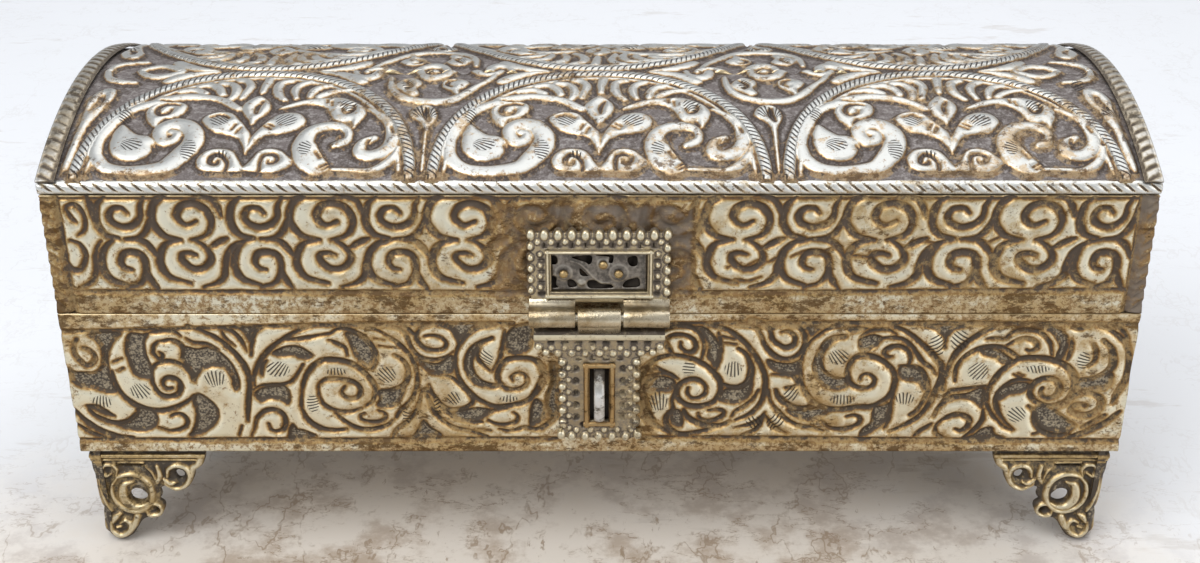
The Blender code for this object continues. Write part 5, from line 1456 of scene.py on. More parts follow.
HALF_LENGTH = 125.0
SHEET_PROUD = 0.77
SEEN_PITCH, HIDDEN_PITCH, END_PITCH = 0.34, 0.5, 0.45
DOME_RADIUS, DOME_CENTRE, DOME_HALF_ANGLE = 103.355, 5.145, 0.4345
ARCH_PLACES, ARCH_HALF_WIDTH, ARCH_FOOT = (-79.6, 0.0, 79.6), 37.3, 1.0


def shifted(strokes: Sequence[Stroke], start: float, across: float = 1.0, bolder: float = 1.0) -> list:
    """The same strokes elsewhere along the sheet.

    Args:
        strokes: Strokes about u = 0.
        start: Where u = 0 goes.
        across: Stretch along u, below zero for a mirror image.
        bolder: How much wider the lines are.

    Returns:
        The moved strokes.
    """
    moved = []
    for stroke in strokes:
        path = stroke.path()
        points = np.column_stack([path[:, 0] * across + start, path[:, 1]])
        moved.append(Stroke(stroke.mark, tuple(points.ravel()), tuple(width * bolder for width in stroke.widths)))
    return moved


def lid_strokes() -> list:
    """The paired C-scrolls along the lid, whose columns aren't quite evenly spaced.

    Returns:
        The strokes, with the edge lines, the ropes down the corners and a few cracks.
    """
    strokes = [
        cut(0.45, -119.75, 91.75, -119, 93, -117.5, 93.5, -116, 92, -115.5, 89.5, -116, 87, -117.5, 85.75),
        cut(0.45, -119.5, 92.5, -118.5, 90, -117.5, 89),
        cut(0.5, -120.75, 81, -121, 79, -120, 77.25, -118.5, 77, -117.25, 78.5, -116.5, 81, -117.5, 83.5, -119.5, 84.5),
        cut(0.45, -118.5, 72.5, -116, 74, -114.75, 76.5, -114.5, 80, -113.75, 82.5, -112.5, 84.5),
        cut(0.9, -114.5, 95.5, -113.5, 92, -113.5, 90),
        Stroke(Mark.CUT, (-HALF_LENGTH, 94.9, 0, 95.0, HALF_LENGTH, 94.9), (0.2, 0.2)),
        Stroke(Mark.CUT, (-121, 71.5, -60, 71.4, 0, 71.2, 60, 71.5, 121, 72.0), (0.16, 0.22, 0.14, 0.2)),
        Stroke(Mark.CUT, (-121.3, 96, -121.2, 84, -121.3, 66), (0.45, 0.5, 0.5, 0.35)),
        Stroke(Mark.CUT, (121.4, 96, 121.6, 84, 121.4, 66), (0.9, 0.8, 0.7, 0.5)),
    ]
    strokes += [Stroke(Mark.CUT, points, (0.05, 0.13, 0.07, 0.12, 0.04)) for points in LID_CRACKS]
    for side in (-1, 1):
        for level in np.arange(66.6, 95.0, 3.2):
            strokes.append(cut(0.26, side * 122.7, level, side * 125.2, level + 2.1))
    pair_start, pair_step = -107.5, 15.5
    for first, second in ((-107.5, -92), (-77, -60.5), (-46.5, -29.5), (-15, 0.5), (16, 33), (47.5, 65), (81, 98.5)):
        stretch = (second - first) / pair_step
        strokes += shifted(LID_PAIR, first - pair_start * stretch, stretch, 1.3)
    return strokes + shifted(LID_PAIR[:7], 113.5 - pair_start, 1.0, 1.3)


def arch_path(place: float, wide: float, tall: float, short: float, count: int) -> np.ndarray:
    """Half an ellipse that stands on the dome's lower edge.

    Args:
        place: Its middle, along the dome.
        wide: Half its width.
        tall: Its height.
        short: Angle left out at each foot.
        count: How many points it has.

    Returns:
        Its points as pairs.
    """
    turns = np.linspace(short, math.pi - short, count)
    return np.column_stack([place + wide * np.cos(turns), ARCH_FOOT + tall * np.sin(turns)])


def dome_strokes() -> list:
    """The three arches of one side of the dome, with what fills the space between them.

    Returns:
        The strokes.
    """
    strokes = []
    for place in ARCH_PLACES:
        strokes += shifted(DOME_ARCH + DOME_SPANDREL, place) + shifted(DOME_SPANDREL, place, -1.0)
        strokes.append(ridge((0.35, 0.35), *arch_path(place, ARCH_HALF_WIDTH - 2.5, 39.6, 0.03, 40).ravel()))
    for place in ARCH_PLACES[:2]:
        strokes += shifted(DOME_STALK + DOME_CLUSTER, place)
    strokes += shifted(DOME_CORNER, ARCH_PLACES[2]) + shifted(DOME_CORNER, ARCH_PLACES[0], -1.0)
    wider = 0.26
    return [
        stroke if stroke.mark is Mark.RAISE
        else Stroke(Mark.CUT, stroke.points, tuple(width + wider for width in stroke.widths))
        for stroke in strokes
    ]


def dome_hatches() -> list:
    """The fine lines on the leaves of the three arches.

    Returns:
        The patches.
    """
    return [
        Hatching((patch.centre[0] + place, patch.centre[1]), patch.reach, (patch.fan[0] + place, patch.fan[1]))
        for place in ARCH_PLACES
        for patch in DOME_HATCHES
    ]


# Sheets


@dataclass
class Panel:
    """One chased sheet and how it is bent to its place.

    Attributes:
        name: Name of the piece.
        node: CAD node that it stands for.
        body: Body that it rides on.
        strokes: What is chased into it.
        low: Lowest u and v.
        high: Highest u and v.
        pitch: Spacing of its points.
        hatches: Its patches of fine lines.
        dirt_and_shade: Its dirty places, and the places where painted shade lies on it.
        ground: Whether the untouched sheet is sunk ground.
        swell: How far the metal rises between the lines.
        sink: How deep the ground lies.
        thickness: Thickness of the sheet.
        round_over: How far from a line the metal takes to rise.
        proud: The most that anything stands out.
        spread: How much wider every raised part is.
    """

    name: str
    node: str
    body: str
    strokes: Sequence[Stroke]
    low: tuple
    high: tuple
    pitch: float
    hatches: Sequence[Hatching] = ()
    dirt_and_shade: Sequence[tuple] = ()
    ground: bool = False
    swell: float = 0.95
    sink: float = 0.6
    thickness: float = 1.0
    round_over: float = 1.0
    proud: float = SHEET_PROUD
    spread: float = 0.0

    ROWS_BACK = False

    def chased(self) -> ChasedSheet:
        """Works the strokes into the flat sheet.

        Returns:
            The grid.
        """
        sheet = ChasedSheet(self.low, self.high, self.pitch, self.ground)
        sheet.work(self.strokes)
        sheet.depth += self.spread
        sheet.hatch(self.hatches)
        for low, high, blur, amount in self.dirt_and_shade:
            sheet.soil_and_shade(low, high, blur, amount)
        return sheet

    def bend(self, u: np.ndarray, v: np.ndarray, height: np.ndarray) -> np.ndarray:
        """Places of points in metres.

        Args:
            u: Millimetres along the sheet.
            v: Millimetres up the sheet.
            height: Millimetres out of the sheet.

        Returns:
            The places.
        """
        raise NotImplementedError

    def make(self, finishes: Sequence[Finish]) -> None:
        """Builds the piece, which stands for its node.

        Args:
            finishes: Finish of the face, then of the back.
        """
        sheet = self.chased()
        height = np.minimum(sheet.height(self.swell, self.sink, self.round_over), self.proud)
        piece = sheet_piece(self.name, sheet, height, self.thickness, self.bend, finishes, self.ROWS_BACK)
        stand_for(piece, self.body, self.node)


@dataclass
class FlatPanel(Panel):
    """A wall: u runs along it and v up it.

    Attributes:
        face: Distance of the untouched face from the middle of the box.
        outward: The way that it faces, in X and Y.
    """

    face: float = 0.0
    outward: tuple = (0, -1)

    def bend(self, u: np.ndarray, v: np.ndarray, height: np.ndarray) -> np.ndarray:
        """Stands the sheet up as a wall."""
        out = self.face + height
        if self.outward[0]:
            side = self.outward[0]
            return np.column_stack([side * out, side * u, v]) * MM
        side = self.outward[1]
        return np.column_stack([-side * u, side * out, v]) * MM


@dataclass
class ArchedPanel(FlatPanel):
    """An end wall of the lid, whose top follows the dome.

    Attributes:
        peak: Height of its top.
    """

    peak: float = 0.0

    def bend(self, u: np.ndarray, v: np.ndarray, height: np.ndarray) -> np.ndarray:
        """Stretches the sheet up to the arch, then stands it up."""
        top = np.sqrt(DOME_RADIUS**2 - u**2) + self.peak - DOME_RADIUS
        share = (v - self.low[1]) / (self.high[1] - self.low[1])
        return super().bend(u, self.low[1] + share * (top - self.low[1]), height)


@dataclass
class DomePanel(Panel):
    """Half of the dome, from a shoulder to the ridge.

    Attributes:
        side: -1 for the front half and 1 for the back half.
    """

    side: int = -1

    ROWS_BACK = True
    BAND_START = 120.4

    def bend(self, u: np.ndarray, v: np.ndarray, height: np.ndarray) -> np.ndarray:
        """Rolls the sheet about the dome's centre line."""
        angle = DOME_HALF_ANGLE - v / DOME_RADIUS
        out = DOME_RADIUS + height
        across = self.side * out * np.sin(angle)
        return np.column_stack([-self.side * u, across, DOME_CENTRE + out * np.cos(angle)]) * MM

    def chased(self) -> ChasedSheet:
        """Works the strokes and the rope arches, and leaves the ends plain for the bands.

        Returns:
            The grid.
        """
        sheet = super().chased()
        tall = DOME_HALF_ANGLE * DOME_RADIUS - 1.8 - ARCH_FOOT
        for place in ARCH_PLACES:
            sheet.twist(arch_path(place, ARCH_HALF_WIDTH, tall, 0.02, 90), 1.45, 1.5, 0.8, 0.30)
        ends = np.abs(sheet.u) > self.BAND_START
        sheet.depth[:, ends] = -1.0
        sheet.mask[:, ends] = 0.0
        sheet.lift[:, ends] = 0.0
        sheet.soil_and_shade((-HALF_LENGTH, 0), (HALF_LENGTH, 2.2), 1.2, 0.5)
        return sheet


@dataclass
class ScrollFoot:
    """A cast foot: the same pierced scroll bracket on both faces of its corner.

    Attributes:
        node: CAD node that it stands for.
        side: -1 on the left and 1 on the right.
        front: -1 at the front and 1 at the back.
        pitch: Spacing of its points.
    """

    node: str
    side: int
    front: int
    pitch: float

    INSET = 1.7
    OVERLAP = 1.0
    SHRINK = 0.975
    THICKNESS = 1.7
    PROUD = 0.98
    LIP_LEVEL, LIP_HALF, LIP_RISE = 2.4, 0.75, 0.5

    def sheet(self) -> ChasedSheet:
        """Draws the bracket, inwards and down from its top outer corner.

        Returns:
            The grid.
        """
        sheet = ChasedSheet((0.0, 0.0), (28.8, 27.8), self.pitch, True)
        sheet.trim([FOOT_OUTLINE], FOOT_HOLES)
        sheet.work(FOOT_RIDGES)
        bar = np.clip(1 - ((sheet.v - self.LIP_LEVEL) / self.LIP_HALF) ** 2, 0, 1)[:, None]
        sheet.lift += self.LIP_RISE * np.sqrt(bar)
        sheet.depth = np.maximum(sheet.depth, np.where(bar > 0, 0.05 + 0.30 * bar, -9.0))
        sheet.lift -= 0.7 * np.exp(-np.maximum(sheet.outline, 0) / 0.35) * (sheet.v > 3.0)[:, None]
        return sheet

    def make(self, finish: Finish) -> None:
        """Builds both brackets.

        Args:
            finish: The metal.
        """
        low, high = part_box(self.node)
        reach_x = max(abs(low.x), abs(high.x)) / MM - self.INSET
        reach_y = max(abs(low.y), abs(high.y)) / MM - self.INSET
        sheet = self.sheet()
        height = np.minimum(sheet.height(1.15, 0.25, 0.55), self.PROUD)

        def face(u: np.ndarray, v: np.ndarray, out: np.ndarray) -> np.ndarray:
            """Stands a bracket up along X."""
            along = self.side * (reach_x + self.OVERLAP - self.SHRINK * u)
            return np.column_stack([along, self.front * (reach_y + out), high.z / MM - v]) * MM

        def flank(u: np.ndarray, v: np.ndarray, out: np.ndarray) -> np.ndarray:
            """Stands a bracket up along Y."""
            along = self.front * (reach_y + self.OVERLAP - self.SHRINK * u)
            return np.column_stack([self.side * (reach_x + out), along, high.z / MM - v]) * MM

        for label, bend in (("face", face), ("flank", flank)):
            piece = pierced_piece(f"{self.node}_{label}", sheet, height, self.THICKNESS, bend, finish)
            stand_for(piece, "base", self.node)


def extruded(profile: Sequence[tuple], low: float, high: float, bevel: float) -> bmesh.types.BMesh:
    """A profile in Y and Z, drawn out along X, with softened ends.

    Args:
        profile: Its corners in millimetres.
        low: Where it starts along X.
        high: Where it ends along X.
        bevel: Radius of its end edges in millimetres.

    Returns:
        The solid.
    """
    bm = bmesh.new()
    face = bm.faces.new([bm.verts.new((low * MM, y * MM, z * MM)) for y, z in profile])
    grown = bmesh.ops.extrude_face_region(bm, geom=[face])["geom"]
    far = [item for item in grown if isinstance(item, bmesh.types.BMVert)]
    bmesh.ops.translate(bm, vec=((high - low) * MM, 0, 0), verts=far)
    caps = [item for item in bm.faces if len(item.verts) == len(profile)]
    edges = [edge for cap in caps for edge in cap.edges]
    bmesh.ops.bevel(bm, geom=edges, offset=bevel * MM, segments=3, profile=0.5, affect="EDGES", material=-1)
    for item in bm.faces:
        item.smooth = len(item.verts) < 8
    return bm


@dataclass
class Hasp:
    """The beaded plate with its window, the knuckles and the beaded flap.

    Attributes:
        finishes: Materials by name.
        axis_y: Y of the middle of the pin.
        axis_z: Height of the middle of the pin.
        radius: Radius of the knuckles.
    """

    finishes: dict
    axis_y: float = -46.85
    axis_z: float = 66.7
    radius: float = 2.25

    BEADED_PITCH = 0.16

    def knuckle(
        self, name: str, low: float, high: float, strap: Sequence[tuple], turn: tuple, body: str, node: str
    ) -> None:
        """A rolled knuckle with the strap that it is rolled from.

        Args:
            name: Name of the piece.
            low: Where it starts along X.
            high: Where it ends along X.
            strap: Corners of the strap, in Y and Z.
            turn: Angles that the roll covers, in degrees from +Y.
            body: Body that it rides on.
            node: CAD node that it stands for.
        """
        angles = np.radians(np.linspace(turn[0], turn[1], 44))
        roll = [(self.axis_y + self.radius * math.cos(a), self.axis_z + self.radius * math.sin(a)) for a in angles]
        piece = linked_object(name, extruded(roll + strap, low, high, 0.14), (self.finishes["knuckle"],))
        stand_for(piece, body, node)

    def plate(self) -> None:
        """The plate on the lid: beads round its edge, pits behind them and a window."""
        sheet = ChasedSheet((-16.5, 69.4), (16.5, 88.4), self.BEADED_PITCH, True)
        top_row = [(-15.45 + 3.09 * index, 86.85) for index in range(11)]
        left = [(-15.6, level) for level in (84.0, 81.2, 78.4, 75.6, 72.9)]
        right = [(15.45, level) for level in (83.6, 80.8, 77.9, 75.1, 72.4)]
        lobes = [ridge((1.0, 1.0), u - 0.05, v + 0.2, u + 0.05, v + 0.4) for u, v in top_row]
        lobes += [ridge((0.85, 0.85), u, v - 0.1, u, v + 0.1) for u, v in left + right]
        sheet.trim([rounded_box(-15.6, 69.4, 15.6, 87.3, 0.5)] + lobes, [rounded_box(-10.9, 72.3, 10.9, 81.9, 0.2)])
        sheet.depth[:] = 0.36
        sheet.pits([(-12.36 + 3.09 * index, 84.3) for index in range(9)])
        sheet.pits([(side * 13.1, 80.4 - 2.8 * index) for index in range(4) for side in (-1, 1)])
        sheet.beads(top_row, (1.02, 1.4), 0.9)
        sheet.bead_row(-13.9, 13.9, 10, 85.1, (0.72, 0.75), 0.55)
        sheet.beads(left, (0.78, 0.95), 0.75)
        sheet.beads(right, (0.92, 1.1), 0.85)
        sheet.beads([(place, 82.0 - 2.8 * index) for index in range(4) for place in (-13.4, 13.3)], (0.58, 0.62), 0.5)
        self.place("hasp_plate_sheet", sheet, -44.95, 1.15, "lid", "hasp_plate")
        strap = [(self.axis_y + 0.7, 69.05), (-45.6, 69.35), (-45.2, 69.8), (-45.0, 70.6)]
        strap += [(-43.85, 70.6), (-43.85, 68.4), (-44.3, 67.4)]
        for name, low, high in (("left", -16.1, -5.5), ("right", 5.5, 16.1)):
            self.knuckle(f"hasp_knuckle_{name}", low, high, strap, (-2, -262), "lid", "hasp_plate")

    def place(
        self, name: str, sheet: ChasedSheet, face: float, thickness: float, body: str, node: str, finish: str = "hasp"
    ) -> None:
        """Stands a plate up at its distance from the wall.

        Args:
            name: Name of the piece.
            sheet: The plate.
            face: Y of its untouched face.
            thickness: How thick it is.
            body: Body that it rides on.
            node: CAD node that it stands for.
            finish: Name of its finish.
        """
        round_edge = -0.25 * np.exp(-np.maximum(sheet.outline, 0) / 0.18)

        def bend(u: np.ndarray, v: np.ndarray, out: np.ndarray) -> np.ndarray:
            """Stands the plate up, facing the front."""
            return np.column_stack([u, face - out, v]) * MM

        piece = pierced_piece(name, sheet, sheet.lift + round_edge, thickness, bend, self.finishes[finish])
        stand_for(piece, body, node)

    def frame(self, name: str, wire: float, bottom: float, body: str, finish: str) -> None:
        """A raised wire frame round an opening.

        Args:
            name: Name of the piece, which ends the name of the node that it stands for.
            wire: Half the width of the wire.
            bottom: Half the width of its lower bar.
            body: Body that it rides on.
            finish: Name of its finish.
        """
        node = f"hasp_{name}"
        low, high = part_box(node)
        x0, x1, z0, z1 = low.x / MM, high.x / MM, low.z / MM, high.z / MM
        sheet = ChasedSheet((x0, z0), (x1, z1), 0.1, False)
        bars = [ridge((wire, wire), x, z0 + 0.3, x, z1 - 0.2) for x in (x0 + wire, x1 - wire)]
        bars += [ridge((w, w), x0 + 0.2, z, x1 - 0.2, z) for w, z in ((wire, z1 - wire), (bottom, z0 + bottom))]
        sheet.trim(bars)
        sheet.depth = np.clip(sheet.outline * 2.2, -1, 2)
        sheet.lift = 0.55 * (1 - np.exp(-np.maximum(sheet.outline, 0) / 0.22)) - 0.5
        self.place(name, sheet, low.y / MM + 0.05, 0.55, body, node, finish)

    def window_scroll(self) -> None:
        """The cast scroll behind the window: two eyes, a stem and blobs on a pierced dark plate."""
        sheet = ChasedSheet((-10.8, 72.4), (10.8, 81.8), 0.12, True)
        sheet.trim([rounded_box(-10.75, 72.45, 10.75, 81.75, 0.2)], SCROLL_HOLES)
        sheet.depth[:] = 0.05
        sheet.work(SCROLL_STEMS)
        sheet.depth = np.minimum(sheet.depth, 0.7)
        across, up = np.meshgrid(sheet.u, sheet.v)
        for u, v, radius in SCROLL_BOSSES:
            away = np.hypot(across - u, up - v) - radius
            sheet.lift += 0.22 * np.clip(-away / 0.35, 0, 1)
            sheet.depth += 0.28 * np.exp(-((away / 0.22) ** 2))
        sheet.depth += 0.15 * np.exp(-np.maximum(sheet.outline, 0) / 0.16)
        sheet.lift += 0.25 * np.clip(sheet.depth, 0, 1) - 0.45
        low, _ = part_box("hasp_scroll")
        self.place("hasp_scroll_sheet", sheet, low.y / MM, 0.7, "lid", "hasp_scroll", "scroll")

    def flap(self) -> None:
        """The flap: a hollow moulding, rows of beads with pits between them, and the slot."""
        sheet = ChasedSheet((-15.3, 32.3), (15.3, 62.9), self.BEADED_PITCH, True)
        drops = [(side * 8.7, 54.2 - 3.3 * index) for index in range(6) for side in (-1, 1)]
        feet = [(-6.6 + 3.2 * index, 33.75) for index in range(5)]
        crown = [(-14.1, 58.3), (14.1, 58.3), (-12.4, 56.8), (12.4, 56.8)]
        edge = drops + feet + crown + [(-9.1, 34.2), (9.1, 34.2)]
        lobes = [ridge((0.95, 0.95), u, v - 0.1, u, v + 0.1) for u, v in edge]
        sheet.trim([FLAP_OUTLINE] + lobes, [rounded_box(-2.35, 38.0, 2.35, 52.5, 0.3)])
        sheet.depth[:] = 0.14
        sheet.pits([(place, 59.2) for place in (np.arange(8) - 3.5) * 3.2])
        sheet.pits([(place, 55.3) for place in (np.arange(4) - 1.5) * 3.2])
        sheet.pits([(side * 5.6, level) for level in 52.3 - 3.3 * np.arange(5) for side in (-1, 1)], 1.05)
        sheet.pits([(place, 36.9) for place in (-3.8, -0.6, 2.6)])
        sheet.bead_row(-11.2, 11.2, 8, 57.9, (0.62, 0.62), 0.45)
        sheet.bead_row(-9.6, 9.6, 7, 56.5, (0.85, 0.85), 0.6)
        sheet.beads(crown, (0.95, 0.9), 0.7)
        for u, v in drops:
            sheet.bead((u, v), (1.05, 1.0), 0.85)
            sheet.bead((u * 0.83, v - 1.6), (0.62, 0.62), 0.45)
        sheet.bead_row(-5.4, 7.6, 5, 35.5, (0.72, 0.72), 0.5)
        sheet.beads(feet, (0.98, 1.25), 0.85)
        for side in (-1, 1):
            sheet.bead((side * 9.15, 34.3), (1.1, 1.6), 0.9)
            sheet.bead((side * 8.6, 36.9), (0.95, 0.9), 0.7)
        self.moulding(sheet, 60.1, 2.6)
        self.place("hasp_flap_sheet", sheet, -45.55, 1.05, "hasp", "hasp_flap")
        strap = [(self.axis_y - 0.55, 64.4), (-46.5, 63.6), (-46.3, 62.2), (-44.5, 62.2), (-44.4, 63.6), (-44.6, 65.4)]
        self.knuckle("hasp_knuckle_middle", -4.95, 4.95, strap, (-18, 255), "hasp", "hasp_flap")

    def moulding(self, sheet: ChasedSheet, foot: float, tall: float) -> None:
        """Draws the hollow moulding across the top of the flap, with a dark band of painted shadow along its top under
        the knuckles and a dark band at its foot.

        Args:
            sheet: The flap.
            foot: Where it starts.
            tall: Its height.
        """
        level = (sheet.v[:, None] - foot) / tall
        bar = (level > 0) & np.ones(len(sheet.u), bool)[None, :]
        ends = 0.1 * (sheet.u / 15)[None, :] ** 4
        rise = 0.35 + 0.5 * np.sqrt(np.clip(1 - (2 * level - 1) ** 2, 0, 1)) + ends
        # Bright along the middle; the dark band along the top is painted shadow under the knuckles, and the foot is
        # dark too.
        sheet.depth = np.where(bar, np.where(np.abs(level - 0.40) < 0.28, 1.4, -0.3), sheet.depth)
        sheet.lift = np.where(bar, np.minimum(rise, 0.95), sheet.lift)

    def staple_path(self, leg: float, reach: float) -> tuple:
        """Draws the staple from the side.

        Args:
            leg: Y where the loop goes over into its two legs.
            reach: Half the thickness of its rod.

        Returns:
            Its places as pairs of Y and Z, and its direction at each of them.
        """
        low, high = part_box("staple")
        z0, z1 = low.z / MM + reach, high.z / MM - reach
        front, back = low.y / MM + reach, high.y / MM
        path = [(back, z0)]
        for turn in np.linspace(-math.pi / 2, math.pi / 2, 33):
            power = 0.55 if turn < 0 else 1.6
            level = math.copysign(abs(math.sin(turn)) ** min(power, 1), turn)
            path.append((leg + (front - leg) * abs(math.cos(turn)) ** power, (z0 + z1 + (z1 - z0) * level) / 2))
        places = np.array(path + [(back, z1)])
        runs = np.gradient(places, axis=0)
        return places, runs / np.maximum(np.hypot(*runs.T), 1e-9)[:, None]

    def staple(self) -> None:
        """The bright staple: a flat-fronted loop of half-round rod through the wall, its upper part darkened as painted
        shade inside the slot.
        """
        half, reach, sides = 1.25, 0.62, 24
        places, runs = self.staple_path(-43.6, reach)
        foot = places[0][1]
        bm = bmesh.new()
        slot_shade = bm.verts.layers.float.new("chase_depth")
        rings = []
        for (y, z), (run_y, run_z) in zip(places, runs):
            ring = []
            for turn in np.linspace(0, 2 * math.pi, sides, endpoint=False):
                out = reach * math.copysign(abs(math.sin(turn)) ** 0.9, math.sin(turn))
                across = half * math.cos(turn)
                ring.append(bm.verts.new((across * MM, (y - run_z * out) * MM, (z + run_y * out) * MM)))
                # Bright low down and dark at the top: painted shade inside the slot.
                ring[-1][slot_shade] = float(np.interp(z, (foot + 7.2, foot + 11.4), (1.3, -0.25)))
            rings.append(ring)
        for here, there in zip(rings[:-1], rings[1:]):
            for index in range(sides):
                after = (index + 1) % sides
                bm.faces.new((here[index], here[after], there[after], there[index])).smooth = True
        bm.faces.new(rings[0])
        bm.faces.new(rings[-1])
        stand_for(linked_object("staple_loop", bm, (self.finishes["loop"],)), "base", "staple")

    def make(self) -> None:
        """Builds the hasp."""
        self.plate()
        self.frame("window_frame", 0.5, 0.65, "lid", "hasp")
        self.window_scroll()
        self.flap()
        self.frame("slot_frame", 0.72, 0.72, "hasp", "slot")
        self.staple()


def twisted_rod(name: str, node: str, radius: float, pitch: float, lean: float, finish: Finish) -> None:
    """A straight rope moulding with slanting cuts on the side that is seen.

    Args:
        name: Name of the piece.
        node: CAD rod that it stands for, which lies along X.
        radius: Its radius in metres.
        pitch: Distance between cuts in metres.
        lean: How far a cut runs along the rod for a full turn, in metres.
        finish: Its finish.
    """
    step, around = 0.00032, 28
    low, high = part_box(node)
    middle = (low + high) / 2
    outside = 4.95 if middle.y < 0 else 1.33
    bm = bmesh.new()
    bmesh.ops.create_grid(bm, x_segments=int((high.x - low.x) / step), y_segments=around, size=0.5)
    depth_layer = bm.verts.layers.float.new("chase_depth")
    for vert in bm.verts:
        x = low.x + (vert.co.x + 0.5) * (high.x - low.x)
        turn = (vert.co.y + 0.5) * 2 * math.pi
        phase = (x + lean * (vert.co.y + 0.5)) / pitch
        away = abs(phase - math.floor(phase) - 0.5) * pitch
        shown = math.exp(-(((turn - outside) / 0.86) ** 4))
        groove = math.exp(-((away / (0.00020 + 0.00026 * shown)) ** 2)) * shown
        reach = radius * (1 - 0.24 * groove)
        vert[depth_layer] = 1.3 - 2.3 * groove
        vert.co = (x, middle.y + reach * math.sin(turn), middle.z + reach * math.cos(turn))
    bmesh.ops.remove_doubles(bm, verts=bm.verts, dist=1e-6)
    for face in bm.faces:
        face.smooth = True
    bmesh.ops.holes_fill(bm, edges=[edge for edge in bm.edges if edge.is_boundary], sides=0)
    stand_for(linked_object(name, bm, (finish,)), "lid", node)


# Studio


@dataclass
class Studio:
    """The camera, the table, the backdrop and the lights.

    Attributes:
        lens: Focal length on a 36 mm sensor.
        stand: Where the camera stands.
        tilt: Angle of the camera from straight down, in degrees.
        table_color: Paint of the table.
        backdrop_color: The wall behind it.
        room_color: The light of the room.
        aim: What the lamps face.
    """

    lens: float = 51.0
    stand: tuple = (0.00016, -0.3868, 0.2554)
    tilt: float = 62.19
    table_color: tuple = (0.735, 0.745, 0.765)
    backdrop_color: tuple = (0.86, 0.88, 0.91)
    room_color: tuple = (0.80, 0.82, 0.86)
    aim: tuple = (0.0, 0.0, 0.06)

    GREY_WOOD, BROWN_WOOD = (0.66, 0.595, 0.515), (0.40, 0.31, 0.225)
    SCRATCH, CRACK = (0.42, 0.37, 0.32), (0.25, 0.17, 0.10)

    def camera(self) -> None:
        """Places the camera where the photograph was taken from."""
        data = bpy.data.cameras.new("camera")
        data.lens, data.sensor_width = self.lens, 36.0
        data.clip_start, data.clip_end = 0.01, 20.0
        camera = bpy.data.objects.new("camera", data)
        camera.location = self.stand
        camera.rotation_euler = (math.radians(self.tilt), 0, 0)
        bpy.context.scene.collection.objects.link(camera)
        bpy.context.scene.camera = camera

    def table(self) -> None:
        """A pale worn table top under the box."""
        material, g = new_material("worn_paint")
        broad = g.noise(9.0, 4.0)
        cloud = g.noise(46.0, 6.0, 0.68)
        scratch = g.span(g.noise(60.0, 5.0, 0.7, (0.25, 1.0, 1.0)) + (broad - 0.5) * 0.3, 0.61, 0.68)
        near = g.node("ShaderNodeSeparateXYZ", None, {0: g.place()})
        along, back = g.value(near, "X"), g.value(near, "Y") + 0.085
        reach = g.math("SQRT", along * along * 0.28 + back * back)
        shade = g.span(reach + (broad - 0.5) * 0.08 + (cloud - 0.5) * 0.06, 0.13, 0.05)
        color = g.blend(broad, dimmed(self.table_color, 0.95), self.table_color)
        worn = g.blend(g.span(cloud, 0.45, 0.62), self.GREY_WOOD, self.BROWN_WOOD)
        color = g.blend(shade * 0.92, color, worn)
        hair = g.math("ABSOLUTE", g.noise(34.0, 5.0, 0.62, (1.0, 0.5, 1.0)) - 0.5)
        fibre = g.math("ABSOLUTE", g.noise(58.0, 6.0, 0.66, (0.5, 1.0, 1.0)) - 0.5)
        lines = g.span(g.math("MINIMUM", hair, fibre), 0.010, 0.002) * g.span(cloud, 0.42, 0.54)
        color = g.blend(scratch * 0.30, color, self.SCRATCH)
        marks = g.span(g.noise(190.0, 6.0, 0.75, (1.0, 0.3, 1.0)) + (broad - 0.5) * 0.3, 0.62, 0.68)
        cracked = g.math("MAXIMUM", marks * shade, lines * (shade * 0.75 + 0.12))
        color = g.blend(cracked * 0.75, color, self.CRACK)
        g.surface(Base_Color=color, Roughness=0.5 + scratch * 0.2)
        bm = bmesh.new()
        bmesh.ops.create_grid(bm, x_segments=2, y_segments=2, size=3.0)
        linked_object("table", bm, (material,))

    def lamp(self, name: str, place: tuple, size: float, power: float, color: tuple = (1, 1, 1)) -> None:
        """An area lamp that faces the box.

        Args:
            name: Its name.
            place: Where it hangs.
            size: Side of its square in metres.
            power: Watts.
            color: Its colour.
        """
        data = bpy.data.lights.new(name, "AREA")
        data.shape = "SQUARE"
        data.size, data.energy, data.color = size, power, color
        lamp = bpy.data.objects.new(name, data)
        lamp.location = place
        lamp.rotation_euler = (Vector(self.aim) - Vector(place)).to_track_quat("-Z", "Y").to_euler()
        bpy.context.scene.collection.objects.link(lamp)

    def backdrop(self) -> None:
        """A pale room around the table, seen by the camera as a plain light wall."""
        world = bpy.data.worlds.new("room")
        world.use_nodes = True
        bpy.context.scene.world = world
        g = Graph(world.node_tree)
        seen = g.value(g.node("ShaderNodeLightPath"), "Is Camera Ray")
        room = g.node("ShaderNodeBackground", None, {"Color": self.room_color, "Strength": 0.66})
        wall = g.node("ShaderNodeBackground", None, {"Color": self.backdrop_color, "Strength": 1.0})
        mixed = g.node("ShaderNodeMixShader", None, {0: seen, 1: g.value(room), 2: g.value(wall)})
        g.node("ShaderNodeOutputWorld", None, {"Surface": g.value(mixed)})

    def make(self) -> None:
        """Sets the whole stage."""
        self.camera()
        self.table()
        self.backdrop()
        self.lamp("window", (-0.5, -0.5, 0.9), 0.8, 9.0, (0.96, 0.98, 1.0))
        self.lamp("ceiling", (0.2, 0.3, 1.1), 1.2, 7.5)
        self.lamp("fill", (0.9, -0.7, 0.5), 0.7, 4.0)
        scene = bpy.context.scene
        scene.view_settings.view_transform = "Standard"
        scene.view_settings.look = "None"


# The box


